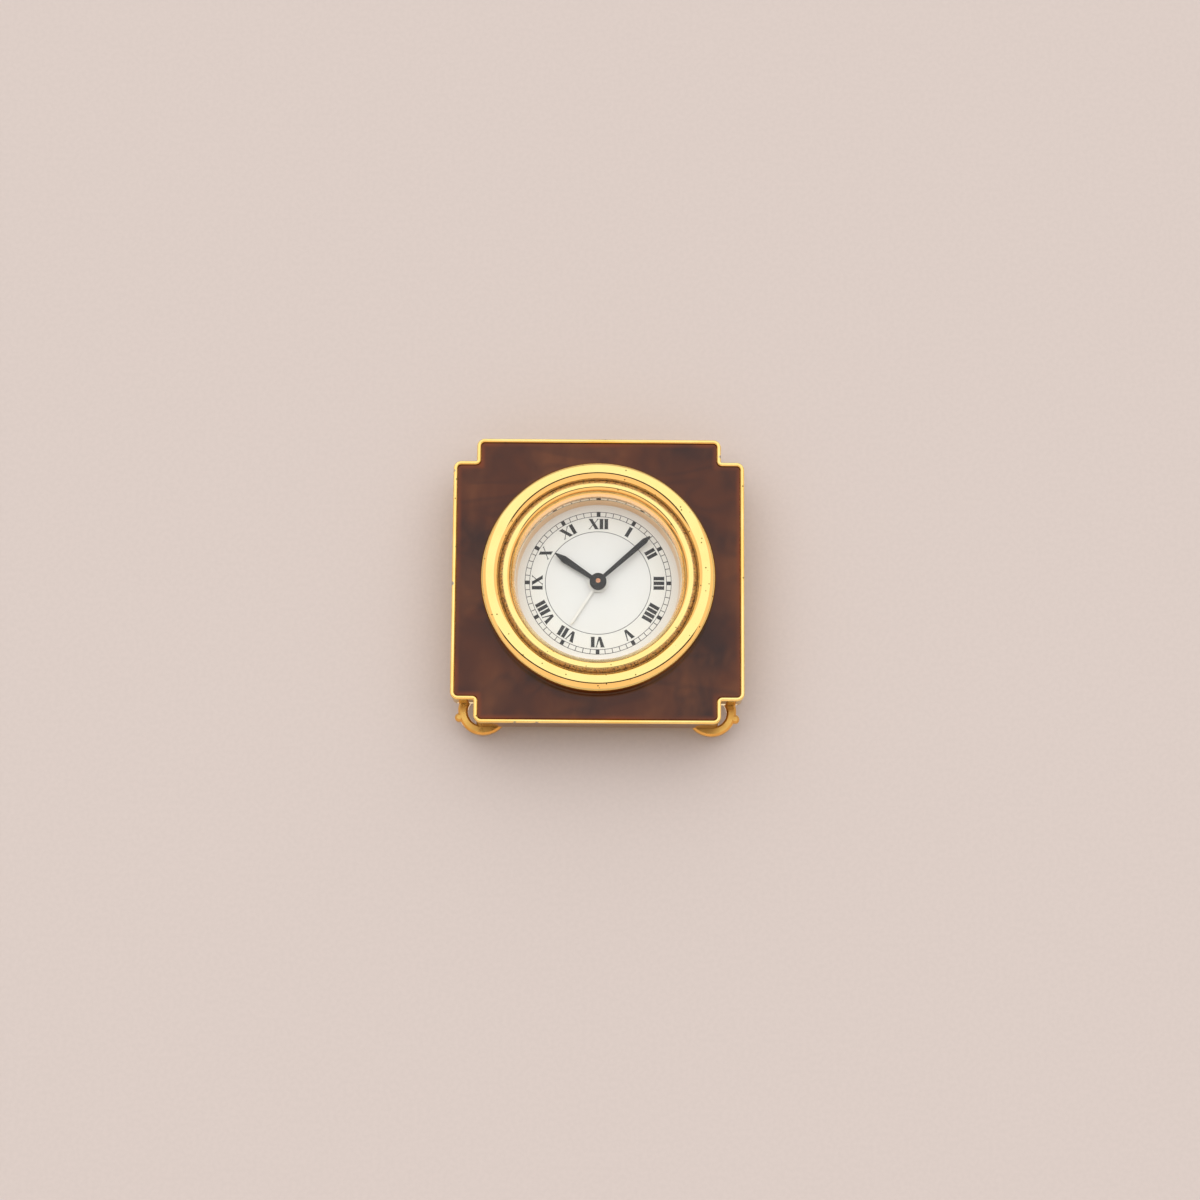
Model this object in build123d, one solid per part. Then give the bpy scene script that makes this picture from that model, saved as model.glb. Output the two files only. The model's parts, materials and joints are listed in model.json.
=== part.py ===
from build123d import *
import math
import os

# A square desk alarm clock with stepped corners, lying on its back with its stand folded.
# Lengths are in millimetres and angles in degrees. +Z leaves the dial, +Y points at twelve,
# and the origin is the middle of the rear cover's rim, on which the clock lies.

# Fits
SLIP = 0.2  # side room between pieces that only pass each other
RUNNING = 0.05  # radial room of a shaft in its bore
AXIAL_GAP = 0.3  # room along the axis beside anything that turns
OVERRUN = 1.0  # how far a cutting body runs past the faces that it cuts

# Case frame
CASE_BORDER = 7.6  # from the bezel's outside to the flat of the case's side
CORNER_STEP = 6.0
STEP_OUTER_ROUND = 1.6
STEP_INNER_ROUND = 0.9
LEAST_ROUND = 0.3
CASE_WALL = 1.3
FACE_PLATE = 1.6
RIM_WIDTH = 1.2
RIM_HEIGHT = 1.6
RIM_STAND_OUT = 0.35
RIM_ROUND = 0.5
ROUND_LIMIT_SHARE = 0.45
BOSS_RADIUS = 2.2
BOSS_PLACE_SHARE = 0.6  # of the case's half width, along the side

# Lacquer panel
PANEL_THICKNESS = 0.8
PANEL_SINK = 0.4
PANEL_FIT = 0.05

# Bezel and its nut
OUTER_BEAD = 4.6
INNER_BEAD = 3.2
BEAD_BASE_RISE = 3.7  # of the bead centres above the lacquer
GROOVE_RISE = 0.5
CRYSTAL_SEAT = 2.5  # width of the crystal's and gasket's seat under the inner bead
SKIRT_WALL = 2.3
NUT_HEIGHT = 1.8
NUT_WALL = 3.0
NUT_ROOM = 0.2
NUT_SLOTS = 6
NUT_SLOT_WIDTH = 2.4
NUT_SLOT_DEPTH = 1.2

# Crystal, gasket, sloping ring and dial
CRYSTAL_THICKNESS = 1.6
CRYSTAL_LIFT = 0.8  # of the crystal's underside above the rim's crest
GASKET_WIDTH = 1.4
REHAUT_TOP_SET_BACK = 0.2
REHAUT_RUN = 1.2  # how far the slope runs in towards the dial
DIAL_THICKNESS = 0.5
DIAL_SINK = 3.3  # from the rim's crest down to the dial

# Hands
HAND_THICKNESS = 0.3
ALARM_HAND_LIFT = 0.35
HAND_GAP = 0.4
HAND_HUB_RADIUS = 2.15
MINUTE_HUB_HEIGHT = 0.7
ARBOR_TIP = 0.2
MINUTE_HAND_LENGTH = 17.9
MINUTE_HAND_ROOT = 1.0
MINUTE_HAND_WIDTH = 1.5
MINUTE_SHOULDER_SHARE = 0.87
HOUR_HAND_LENGTH = 13.4
HOUR_HAND_ROOT = 1.1
HOUR_HAND_WIDTH = 1.8
HOUR_SHOULDER_SHARE = 0.8
ALARM_HAND_LENGTH = 13.1
ALARM_HAND_WIDTH = 0.7
ALARM_HUB_RADIUS = 2.5
ALARM_SHOULDER_SHARE = 0.93
MINUTE_HAND_TURN = 48.0  # clockwise from twelve
HOUR_HAND_TURN = 304.0
ALARM_HAND_TURN = 212.0

# Plates of the movement
MAIN_PLATE = 0.9
BRIDGE = 0.8
PLATE_LEDGE = 0.9
HOLDER_WALL = 3.92
PILLAR_RADIUS = 1.2
PILLAR_TURNS = (92.0, 350.0, 185.0, 245.0)
SCREW_RADIUS = 0.6
SCREW_HEAD_RADIUS = 1.1
SCREW_HEAD_HEIGHT = 0.5
SCREW_LENGTH = 2.4
PIVOT_RADIUS = 0.35
PIVOT_END = 0.1  # how far a pivot stops short of the plate's far face

# Teeth
PRESSURE_ANGLE = 20.0
ADDENDUM_SHARE = 0.85
DEDENDUM_SHARE = 1.15
TOOTH_SHARE = 0.44  # tooth thickness as a share of the pitch
TRAIN_WHEEL = 0.5
MOTION_WHEEL = 0.6
WINDOW_SHARE = 0.19
WINDOW_PLACE_SHARE = 0.58
WINDOWS = 5

# Going train, from the rotor to the centre wheel
TRAIN_MODULE = 0.16
CENTRE_MODULE = 0.17
CENTRE_TEETH = 80
THIRD_PINION_TEETH = 10
THIRD_TEETH = 75
FOURTH_PINION_TEETH = 12
FOURTH_TEETH = 60
INTERMEDIATE_PINION_TEETH = 10
INTERMEDIATE_TEETH = 60
ROTOR_PINION_TEETH = 10
THIRD_TURN = 35.0
FOURTH_TURN = 80.0
INTERMEDIATE_TURN = 172.0
ROTOR_TURN = 165.0
MAGNET_RADIUS = 1.6

# Motion work and setting work
MINUTE_MODULE = 1.0 / 3.0
HOUR_MODULE = 0.32
CANNON_TEETH = 12
MINUTE_TEETH = 36
MINUTE_PINION_TEETH = 10
HOUR_TEETH = 40
TIME_PINION_TEETH = 18
ALARM_TEETH = 44
ALARM_PINION_TEETH = 28
ARBOR_RADIUS = 0.6
HOUR_TUBE_WALL = 0.35
ALARM_TUBE_WALL = 0.4
TIME_KNOB_TURN = 200.0
ALARM_KNOB_TURN = 340.0

# Coil and stator
COIL_LENGTH = 13.0
COIL_CORE_WIDTH = 1.6
COIL_CORE = 0.6
COIL_FREE = 0.4  # bare core between the winding and its pad
PAD_LENGTH = 1.7
STATOR = 0.5
STATOR_WIDTH = 2.4
STATOR_EYE_WALL = 1.2
STATOR_AIR_GAP = 0.6
STATOR_BOSS_RADIUS = 0.9
COIL_SCREW_RADIUS = 0.4
COIL_SCREW_HEAD = 0.7

# Electrics
BOARD = 0.6
BOARD_DEPTH = 6.4
BOARD_LENGTH = 9.0
BOARD_OFFSET = 1.4
BOARD_TURN = 314.0
CHIP_SIZE = 3.0
CHIP_HEIGHT = 0.9
CHIP_PLACE_SHARE = 0.25
CAN_RADIUS = 1.0
CAN_LENGTH = 6.0
CAN_PLACE_SHARE = 0.28
CHOKE_RADIUS = 2.3
CHOKE_HEIGHT = 3.0
CHOKE_WAIST = 0.7
CHOKE_FLANGE = 0.5
CHOKE_TURN = 222.0
BUZZER_RADIUS = 6.2
BUZZER = 0.25
BUZZER_OFFSET = 5.6
BATTERY_RADIUS = 5.8
BATTERY_HEIGHT = 4.2
BATTERY_CAP_RADIUS = 4.7
BATTERY_CAP = 0.3
CONTACT = 0.2
CONTACT_WIDTH = 2.0
CONTACT_REACH = 7.0
CONTACT_FOOT = 1.6
ALARM_CONTACT_LENGTH = 5.0
ALARM_CONTACT_HEIGHT = 0.8
ALARM_CONTACT_TURN = 62.0

# Back plate, rear cover and what sits in its well
BACK_PLATE = 1.2
CASE_SCREW_RADIUS = 0.8
CASE_SCREW_HEAD_RADIUS = 1.6
CASE_SCREW_HEAD_HEIGHT = 0.8
CASE_SCREW_LENGTH = 2.6
WELL_DEPTH = 2.4
COVER_FLOOR = 1.0
COVER_HEADROOM = 0.5
COVER_WALL = 1.0
COVER_SLIP = 0.6
COVER_LAND = 2.0
COVER_EDGE = 0.4
FLANGE = 1.0
FLANGE_WIDTH = 3.5
FLANGE_SCREW_TURNS = (60.0, 120.0, 240.0, 300.0)
SOUND_HOLES = 6
SOUND_HOLE_RADIUS = 0.5
SOUND_RING = 2.2

# Setting knobs
KNOB_RADIUS = 4.2
KNOB_SET_BACK = 0.3
KNOB_FLUTES = 28
FLUTE_RADIUS = 0.25
STEM_RADIUS = 1.0

# Alarm slide
SLIDE_OFFSET = 15.0
SLIDE_TRAVEL = 3.0
SLIDE_LENGTH = 6.0
SLIDE_WIDTH = 3.6
SLIDE_SET_BACK = 0.8
SLIDE_NECK_LENGTH = 3.0
SLIDE_NECK_WIDTH = 1.8
SLIDE_ROOM = 0.1
SLIDE_PLATE = 0.25
SLIDE_RIBS = 3
SLIDE_RIB = 0.4
SLIDE_EDGE = 0.5

# Battery hatch
HATCH_RIM = 1.0  # of the cap beyond its plug
HATCH_SET_BACK = 0.6
HATCH_PLUG_RADIUS = 6.2
HATCH_LUG = 0.7
HATCH_LUG_WIDTH = 3.0
HATCH_LUG_HEIGHT = 0.35
HATCH_TURN = 45.0
HATCH_GASKET = 0.3
HATCH_GASKET_WIDTH = 0.7
COIN_SLOT_LENGTH = 8.0
COIN_SLOT_WIDTH = 1.4
COIN_SLOT_DEPTH_SHARE = 0.6

# Stand
BAIL_THICKNESS = 2.2
BAIL_BACK_GAP = 0.4
BAIL_SIDE_GAP = 0.9
BAIL_EDGE = 0.5
ARM_WIDTH = 3.0
PIVOT_HEIGHT = 10.0  # of the hinge line above the clock's middle
CROSSBAR_WIDTH = 2.8
CROSSBAR_RAISE = 1.4
FOOT_RADIUS = 6.4
FOOT_EYE_RADIUS = 3.6
FOOT_EYE_SHIFT = 0.35
FOOT_SIDE_INSET = 8.3
FOOT_BASE_INSET = 4.8
TOE_RADIUS = 1.1
TOE_TURN = 17.0  # below the level of the foot's middle
PIN_RADIUS = 0.6
PIN_HEAD_RADIUS = 1.0
PIN_HEAD = 0.5
PIN_HEAD_GAP = 0.1
WASHER = 0.3
WASHER_RADIUS = 1.4
LUG_WIDTH = 2.2
LUG_HALF_HEIGHT = 2.2
LUG_DROP = 0.6

# Levels, from the rear rim towards the crystal
floor_bottom = WELL_DEPTH
floor_top = floor_bottom + COVER_FLOOR
bridge_bottom = floor_top + COVER_HEADROOM
bridge_top = bridge_bottom + BRIDGE
level_centre = bridge_top + AXIAL_GAP
level_third = level_centre + TRAIN_WHEEL + AXIAL_GAP
level_minute = level_third + TRAIN_WHEEL + AXIAL_GAP
level_hour = level_minute + MOTION_WHEEL + AXIAL_GAP
level_alarm = level_hour + MOTION_WHEEL + AXIAL_GAP
main_bottom = level_alarm + MOTION_WHEEL + AXIAL_GAP
dial_bottom = main_bottom + MAIN_PLATE
dial_top = dial_bottom + DIAL_THICKNESS
front = dial_top + DIAL_SINK
panel_top = front - PANEL_SINK
panel_bottom = panel_top - PANEL_THICKNESS
plate_bottom = panel_bottom - FACE_PLATE
nut_bottom = plate_bottom - NUT_HEIGHT
flange_top = nut_bottom - NUT_ROOM
flange_bottom = flange_top - FLANGE
back = flange_bottom - BACK_PLATE
crystal_bottom = front + CRYSTAL_LIFT
crystal_top = crystal_bottom + CRYSTAL_THICKNESS
bead_base = panel_top + BEAD_BASE_RISE

# Heights of the hands
alarm_hand_bottom = dial_top + ALARM_HAND_LIFT
alarm_hand_top = alarm_hand_bottom + HAND_THICKNESS
hour_hand_bottom = alarm_hand_top + HAND_GAP
hour_hand_top = hour_hand_bottom + HAND_THICKNESS
minute_hand_bottom = hour_hand_top + HAND_GAP
minute_hub_top = minute_hand_bottom + MINUTE_HUB_HEIGHT
arbor_top = minute_hub_top + ARBOR_TIP

# Concentric tubes in the middle of the dial
hour_tube_bore = ARBOR_RADIUS + RUNNING
hour_tube_radius = hour_tube_bore + HOUR_TUBE_WALL
alarm_tube_bore = hour_tube_radius + RUNNING
alarm_tube_radius = alarm_tube_bore + ALARM_TUBE_WALL


def pitch_radius(teeth, module):
    """Radius of a gear's pitch circle."""
    return teeth * module / 2


def tip_radius(teeth, module):
    """Radius over the tips of a gear's teeth."""
    return pitch_radius(teeth, module) + ADDENDUM_SHARE * module


def centre_distance(teeth, mate_teeth, module):
    """Distance between the axes of two gears in mesh."""
    return pitch_radius(teeth + mate_teeth, module)


def on_ray(start, turn, distance):
    """The point at a distance from start, along a turn from +X."""
    angle = math.radians(turn)
    return (start[0] + distance * math.cos(angle), start[1] + distance * math.sin(angle))


def turn_to(start, end):
    """The turn from +X of the line from one point to another."""
    return math.degrees(math.atan2(end[1] - start[1], end[0] - start[0]))


def meshing_turn(teeth, turn, mate_teeth, line_turn):
    """How far a mate is turned so that its tooth gap meets the tooth of a gear that is turned by turn."""
    lead = turn - line_turn
    return line_turn + 180.0 - lead * teeth / mate_teeth + 180.0 / mate_teeth


# Axes of the wheels
centre = (0.0, 0.0)
motion_distance = centre_distance(CANNON_TEETH, MINUTE_TEETH, MINUTE_MODULE)
time_distance = centre_distance(TIME_PINION_TEETH, MINUTE_TEETH, MINUTE_MODULE)
knob_distance = centre_distance(ALARM_PINION_TEETH, ALARM_TEETH, HOUR_MODULE)
time_axis = on_ray(centre, TIME_KNOB_TURN, knob_distance)
alarm_axis = on_ray(centre, ALARM_KNOB_TURN, knob_distance)
minute_wheel_swing = math.degrees(math.acos(
    (motion_distance ** 2 + knob_distance ** 2 - time_distance ** 2) / (2 * motion_distance * knob_distance)))
minute_wheel_turn = TIME_KNOB_TURN - minute_wheel_swing
minute_axis = on_ray(centre, minute_wheel_turn, motion_distance)
third_axis = on_ray(centre, THIRD_TURN, centre_distance(CENTRE_TEETH, THIRD_PINION_TEETH, CENTRE_MODULE))
fourth_axis = on_ray(third_axis, FOURTH_TURN, centre_distance(THIRD_TEETH, FOURTH_PINION_TEETH, TRAIN_MODULE))
intermediate_axis = on_ray(
    fourth_axis, INTERMEDIATE_TURN, centre_distance(FOURTH_TEETH, INTERMEDIATE_PINION_TEETH, TRAIN_MODULE))
rotor_axis = on_ray(
    intermediate_axis, ROTOR_TURN, centre_distance(INTERMEDIATE_TEETH, ROTOR_PINION_TEETH, TRAIN_MODULE))

# Reach of the movement, and the rings that close round it
battery_place = (0.0, -(tip_radius(CENTRE_TEETH, CENTRE_MODULE) + AXIAL_GAP + BATTERY_RADIUS))
stator_top = level_third + STATOR
core_top = stator_top + COIL_CORE
coil_axis_height = stator_top + COIL_CORE / 2
coil_radius = coil_axis_height - bridge_top - SLIP
coil_distance = motion_distance + tip_radius(MINUTE_TEETH, MINUTE_MODULE) + AXIAL_GAP + coil_radius
pad_end = COIL_LENGTH / 2 + COIL_FREE + PAD_LENGTH
coil_reach = math.hypot(coil_distance + COIL_CORE_WIDTH / 2, pad_end)
battery_reach = -battery_place[1] + BATTERY_RADIUS + SLIP
bridge_radius = max(coil_reach, battery_reach) + SLIP
ledge_radius = bridge_radius + SLIP
main_radius = ledge_radius + PLATE_LEDGE
holder_bore = main_radius + RUNNING
holder_radius = holder_bore + HOLDER_WALL
skirt_bore = holder_radius + SLIP
skirt_radius = skirt_bore + SKIRT_WALL
opening_radius = skirt_bore - CRYSTAL_SEAT
groove_radius = opening_radius + INNER_BEAD
bezel_radius = groove_radius + OUTER_BEAD
nut_radius = skirt_radius + NUT_WALL
pillar_distance = bridge_radius - PILLAR_RADIUS - SLIP
dial_radius = holder_radius - SLIP
crystal_radius = skirt_bore - GASKET_WIDTH
half_case = bezel_radius + CASE_BORDER
cover_bore = holder_radius + COVER_SLIP
cover_radius = cover_bore + COVER_WALL
flange_radius = cover_radius + FLANGE_WIDTH
boss_side = half_case - RIM_STAND_OUT - CASE_WALL - SLIP - BOSS_RADIUS
boss_along = half_case * BOSS_PLACE_SHARE

# Stand places
bail_top = back - BAIL_BACK_GAP
bail_bottom = bail_top - BAIL_THICKNESS
hinge_z = (bail_top + bail_bottom) / 2
arm_inside = cover_radius + BAIL_SIDE_GAP
arm_outside = arm_inside + ARM_WIDTH
lug_inside = arm_outside + WASHER
lug_outside = lug_inside + LUG_WIDTH
foot_x = half_case - FOOT_SIDE_INSET
foot_y = -(half_case - FOOT_BASE_INSET)


def disc(radius, bottom, top, at=centre):
    """A plain upright cylinder between two levels."""
    body = Cylinder(radius, top - bottom, align=(Align.CENTER, Align.CENTER, Align.MIN))
    return Pos(at[0], at[1], bottom) * body


def tube(radius, bore, bottom, top, at=centre):
    """An upright cylinder with a bore right through it."""
    return disc(radius, bottom, top, at) - disc(bore, bottom - OVERRUN, top + OVERRUN, at)


def block(x_from, x_to, y_from, y_to, bottom, top):
    """A box between two corners."""
    body = Box(x_to - x_from, y_to - y_from, top - bottom, align=Align.MIN)
    return Pos(x_from, y_from, bottom) * body


def slab(face, bottom, top):
    """A flat face of the XY plane, raised between two levels."""
    return extrude(Pos(0, 0, bottom) * face, amount=top - bottom, dir=(0, 0, 1))


def turned(*edges):
    """A body of revolution about +Z from a closed outline of radius and height."""
    return revolve(Plane.XZ * make_face(edges), Axis.Z)


def group(bodies):
    """Separate solids of one kind, kept as one named group."""
    return Compound(children=list(bodies))


def both_sides(body):
    """A body on the +X side and its mirror image on the -X side."""
    return group([body, mirror(body, Plane.YZ)])


def stepped_face(inset):
    """The square with stepped corners, drawn in by inset from the rim's outside."""
    outer = half_case - inset
    inner = outer - CORNER_STEP
    corner = ((outer, -inner), (outer, inner), (inner, inner))
    points = []
    for quarter in range(4):
        for point in corner:
            points.append(Vector(*point).rotate(Axis.Z, 90.0 * quarter))
    face = make_face(Polyline(*points, close=True))
    hollows = face.vertices().sort_by_distance((0, 0, 0))[:4]
    face = fillet(hollows, STEP_INNER_ROUND + inset)
    middle_of_step = (outer + inner) / 2
    tips = [v for v in face.vertices() if max(abs(v.X), abs(v.Y)) > middle_of_step]
    return fillet(tips, max(STEP_OUTER_ROUND - inset, LEAST_ROUND))


def gear_face(teeth, module):
    """A spur gear's outline, with each tooth flank an arc through three points of the involute."""
    pitch = pitch_radius(teeth, module)
    base = pitch * math.cos(math.radians(PRESSURE_ANGLE))
    root = pitch - DEDENDUM_SHARE * module
    tip = tip_radius(teeth, module)

    def involute(angle):
        return math.tan(angle) - angle

    def half_tooth(radius):
        roll = math.acos(base / max(radius, base))
        at_pitch = math.pi * TOOTH_SHARE / teeth
        return at_pitch + involute(math.radians(PRESSURE_ANGLE)) - involute(roll)

    def flank_point(tooth, radius, side):
        angle = 2 * math.pi * tooth / teeth + side * half_tooth(radius)
        return Vector(radius * math.cos(angle), radius * math.sin(angle))

    edges = []
    for tooth in range(teeth):
        rise = [flank_point(tooth, radius, -1) for radius in (root, pitch, tip)]
        fall = [flank_point(tooth, radius, 1) for radius in (tip, pitch, root)]
        edges.append(Edge.make_three_point_arc(*rise))
        edges.append(Edge.make_line(rise[-1], fall[0]))
        edges.append(Edge.make_three_point_arc(*fall))
        edges.append(Edge.make_line(fall[-1], flank_point(tooth + 1, root, -1)))
    return Face(Wire(edges))


def gear(teeth, module, bottom, thickness, turn, at):
    """A solid spur gear at its place, turned so that it meshes."""
    body = slab(gear_face(teeth, module), bottom, bottom + thickness)
    return Pos(at[0], at[1], 0) * (Rot(0, 0, turn) * body)


def wheel(teeth, module, bottom, thickness, turn, at):
    """A spur gear with round windows cut in its web."""
    body = gear(teeth, module, bottom, thickness, turn, at)
    pitch = pitch_radius(teeth, module)
    for window in range(WINDOWS):
        place = on_ray(at, window * 360.0 / WINDOWS, pitch * WINDOW_PLACE_SHARE)
        body -= disc(pitch * WINDOW_SHARE, bottom - OVERRUN, bottom + thickness + OVERRUN, place)
    return body


def arbor(at, radius=PIVOT_RADIUS):
    """A wheel's arbor, running in the bridge and in the main plate."""
    return disc(radius, bridge_bottom + PIVOT_END, dial_bottom - PIVOT_END, at)


def pivot_hole(at, radius, bottom, top):
    """The cutting body of an arbor's bearing in a plate."""
    return disc(radius + RUNNING, bottom - OVERRUN, top + OVERRUN, at)


# Case


def make_case_frame():
    """Gilt tray with stepped corners: face plate, side walls, screw bosses and the bead rim."""
    band_bottom = front - RIM_HEIGHT
    rim_round = min(RIM_ROUND, RIM_WIDTH * ROUND_LIMIT_SHARE)
    band = slab(stepped_face(0) - stepped_face(RIM_WIDTH), band_bottom, front)
    band = fillet(band.faces().sort_by(Axis.Z)[-1].edges(), rim_round)
    band = fillet(band.faces().sort_by(Axis.Z)[0].outer_wire().edges(), min(rim_round, RIM_STAND_OUT))
    body = slab(stepped_face(RIM_STAND_OUT), back, panel_bottom)
    body -= slab(stepped_face(RIM_STAND_OUT + CASE_WALL), back - OVERRUN, plate_bottom)
    body -= disc(skirt_radius + SLIP, back - OVERRUN, front + OVERRUN)
    body += band
    for x in (-boss_side, boss_side):
        for y in (-boss_along, boss_along):
            body += disc(BOSS_RADIUS, flange_bottom, plate_bottom, (x, y))
            body -= disc(CASE_SCREW_RADIUS, back, flange_bottom + CASE_SCREW_LENGTH, (x, y))
    return body


def make_lacquer_panel():
    """Thin lacquered panel inside the bead rim, with the bezel's hole."""
    body = slab(stepped_face(RIM_WIDTH + PANEL_FIT), panel_bottom, panel_top)
    return body - disc(skirt_radius + SLIP, panel_bottom - OVERRUN, panel_top + OVERRUN)


def make_bezel_ring():
    """Polished bezel: two half-round mouldings over a threaded skirt."""
    outer_crest = (groove_radius + OUTER_BEAD / 2, bead_base + OUTER_BEAD / 2)
    inner_crest = (opening_radius + INNER_BEAD / 2, bead_base + INNER_BEAD / 2)
    groove = (groove_radius, bead_base + GROOVE_RISE)
    wall = Polyline(
        (opening_radius, bead_base), (opening_radius, crystal_top), (skirt_bore, crystal_top),
        (skirt_bore, nut_bottom), (skirt_radius, nut_bottom), (skirt_radius, panel_top),
        (bezel_radius, panel_top), (bezel_radius, bead_base))
    outer_bead = ThreePointArc((bezel_radius, bead_base), outer_crest, groove)
    inner_bead = ThreePointArc(groove, inner_crest, (opening_radius, bead_base))
    return turned(*wall.edges(), outer_bead, inner_bead)


def make_bezel_nut():
    """Ring nut behind the face plate, slotted for a pin wrench."""
    body = tube(nut_radius, skirt_radius, nut_bottom, plate_bottom)
    for slot in range(NUT_SLOTS):
        cut = block(nut_radius - NUT_SLOT_DEPTH, nut_radius + OVERRUN,
                    -NUT_SLOT_WIDTH / 2, NUT_SLOT_WIDTH / 2, nut_bottom - OVERRUN, plate_bottom + OVERRUN)
        body -= Rot(0, 0, slot * 360.0 / NUT_SLOTS) * cut
    return body


def make_crystal():
    """Flat glass over the dial."""
    return disc(crystal_radius, crystal_bottom, crystal_top)


def make_crystal_gasket():
    """Ring round the edge of the glass, under the bezel's inner moulding."""
    return tube(skirt_bore, crystal_radius, crystal_bottom, crystal_top)


def make_rehaut_ring():
    """Polished sloping ring that stands on the dial and carries the glass."""
    top_bore = opening_radius - REHAUT_TOP_SET_BACK
    outside = skirt_bore - SLIP
    outline = Polyline(
        (top_bore - REHAUT_RUN, dial_top), (outside, dial_top), (outside, crystal_bottom),
        (top_bore, crystal_bottom), close=True)
    return turned(*outline.edges())


def make_dial():
    """Dial plate with the hole for the hands' tubes."""
    return tube(dial_radius, alarm_tube_radius + SLIP, dial_bottom, dial_top)


def make_holder_ring():
    """Ring that carries the movement and the dial inside the case."""
    body = tube(holder_radius, ledge_radius, floor_top, dial_bottom)
    return body - disc(holder_bore, main_bottom, dial_bottom + OVERRUN)


def make_back_plate():
    """Flat plate inside the case's walls, with the round hole for the rear cover."""
    body = slab(stepped_face(RIM_STAND_OUT + CASE_WALL + PANEL_FIT), back, flange_bottom)
    body -= disc(cover_radius + SLIP, back - OVERRUN, flange_bottom + OVERRUN)
    for place in case_screw_places():
        body -= case_screw(place)
    for place in flange_screw_places():
        body -= flange_screw(place)
    return body


def case_screw_places():
    """Where the back plate is screwed to the bosses."""
    return [(x, y) for x in (-boss_side, boss_side) for y in (-boss_along, boss_along)]


def flange_screw_places():
    """Where the rear cover's flange is screwed to the back plate."""
    distance = (cover_radius + flange_radius) / 2
    return [on_ray(centre, turn, distance) for turn in FLANGE_SCREW_TURNS]


def sunk_screw(place, bottom, radius, head_radius, head_height, length):
    """A screw with a flat head sunk flush with the level that it is driven from."""
    head = disc(head_radius, bottom, bottom + head_height, place)
    return head + disc(radius, bottom, bottom + length, place)


def case_screw(place):
    """One screw from the back plate into a boss."""
    return sunk_screw(place, back, CASE_SCREW_RADIUS, CASE_SCREW_HEAD_RADIUS, CASE_SCREW_HEAD_HEIGHT,
                      BACK_PLATE + CASE_SCREW_LENGTH)


def flange_screw(place):
    """One small screw from the back plate into the rear cover's flange."""
    return sunk_screw(place, back, SCREW_RADIUS, SCREW_HEAD_RADIUS, SCREW_HEAD_HEIGHT,
                      BACK_PLATE + FLANGE)


def driver_slot(place, bottom, head_radius, head_height):
    """The cutting body of a screw head's slot."""
    depth = head_height / 2
    width = head_radius / 4
    return block(place[0] - head_radius - OVERRUN, place[0] + head_radius + OVERRUN,
                 place[1] - width, place[1] + width, bottom - OVERRUN, bottom + depth)


def make_back_plate_screws():
    """Slotted screws that hold the back plate."""
    return group([
        case_screw(place) - driver_slot(place, back, CASE_SCREW_HEAD_RADIUS, CASE_SCREW_HEAD_HEIGHT)
        for place in case_screw_places()])


def make_rear_cover_screws():
    """Slotted screws that hold the rear cover's flange."""
    return group([
        flange_screw(place) - driver_slot(place, back, SCREW_HEAD_RADIUS, SCREW_HEAD_HEIGHT)
        for place in flange_screw_places()])


def make_rear_cover():
    """Round rear drum with a sunk well for the knobs, the alarm slide and the battery hatch."""
    body = disc(cover_radius, 0, flange_top)
    body = chamfer(body.faces().sort_by(Axis.Z)[0].edges(), COVER_EDGE)
    body += disc(flange_radius, flange_bottom, flange_top)
    body -= disc(cover_radius - COVER_LAND, -OVERRUN, floor_bottom)
    body -= disc(cover_bore, floor_top, flange_top + OVERRUN)
    for axis in (time_axis, alarm_axis):
        body -= pivot_hole(axis, STEM_RADIUS, floor_bottom, floor_top)
    slot_reach = (SLIDE_NECK_LENGTH + SLIDE_TRAVEL) / 2 + SLIDE_ROOM
    slot_half = SLIDE_NECK_WIDTH / 2 + SLIDE_ROOM
    body -= block(-slot_reach, slot_reach, SLIDE_OFFSET - slot_half, SLIDE_OFFSET + slot_half,
                  floor_bottom - OVERRUN, floor_top + OVERRUN)
    body -= hatch_outline(HATCH_TURN, RUNNING, floor_bottom - OVERRUN, floor_top + OVERRUN)
    for hole in range(SOUND_HOLES):
        place = on_ray((0, BUZZER_OFFSET), hole * 360.0 / SOUND_HOLES, SOUND_RING)
        body -= disc(SOUND_HOLE_RADIUS, floor_bottom - OVERRUN, floor_top + OVERRUN, place)
    for place in flange_screw_places():
        body -= disc(SCREW_RADIUS, flange_bottom - OVERRUN, flange_top + OVERRUN, place)
    return body


# Movement plates


def pillar_places():
    """Where the pillars stand between the two plates."""
    return [on_ray(centre, turn, pillar_distance) for turn in PILLAR_TURNS]


def make_main_plate():
    """Front plate of the movement, under the dial."""
    body = disc(main_radius, main_bottom, dial_bottom)
    body -= pivot_hole(centre, alarm_tube_radius, main_bottom, dial_bottom)
    for axis in (minute_axis, third_axis, fourth_axis, intermediate_axis, rotor_axis, time_axis, alarm_axis):
        body -= pivot_hole(axis, PIVOT_RADIUS, main_bottom, dial_bottom)
    return body


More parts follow.
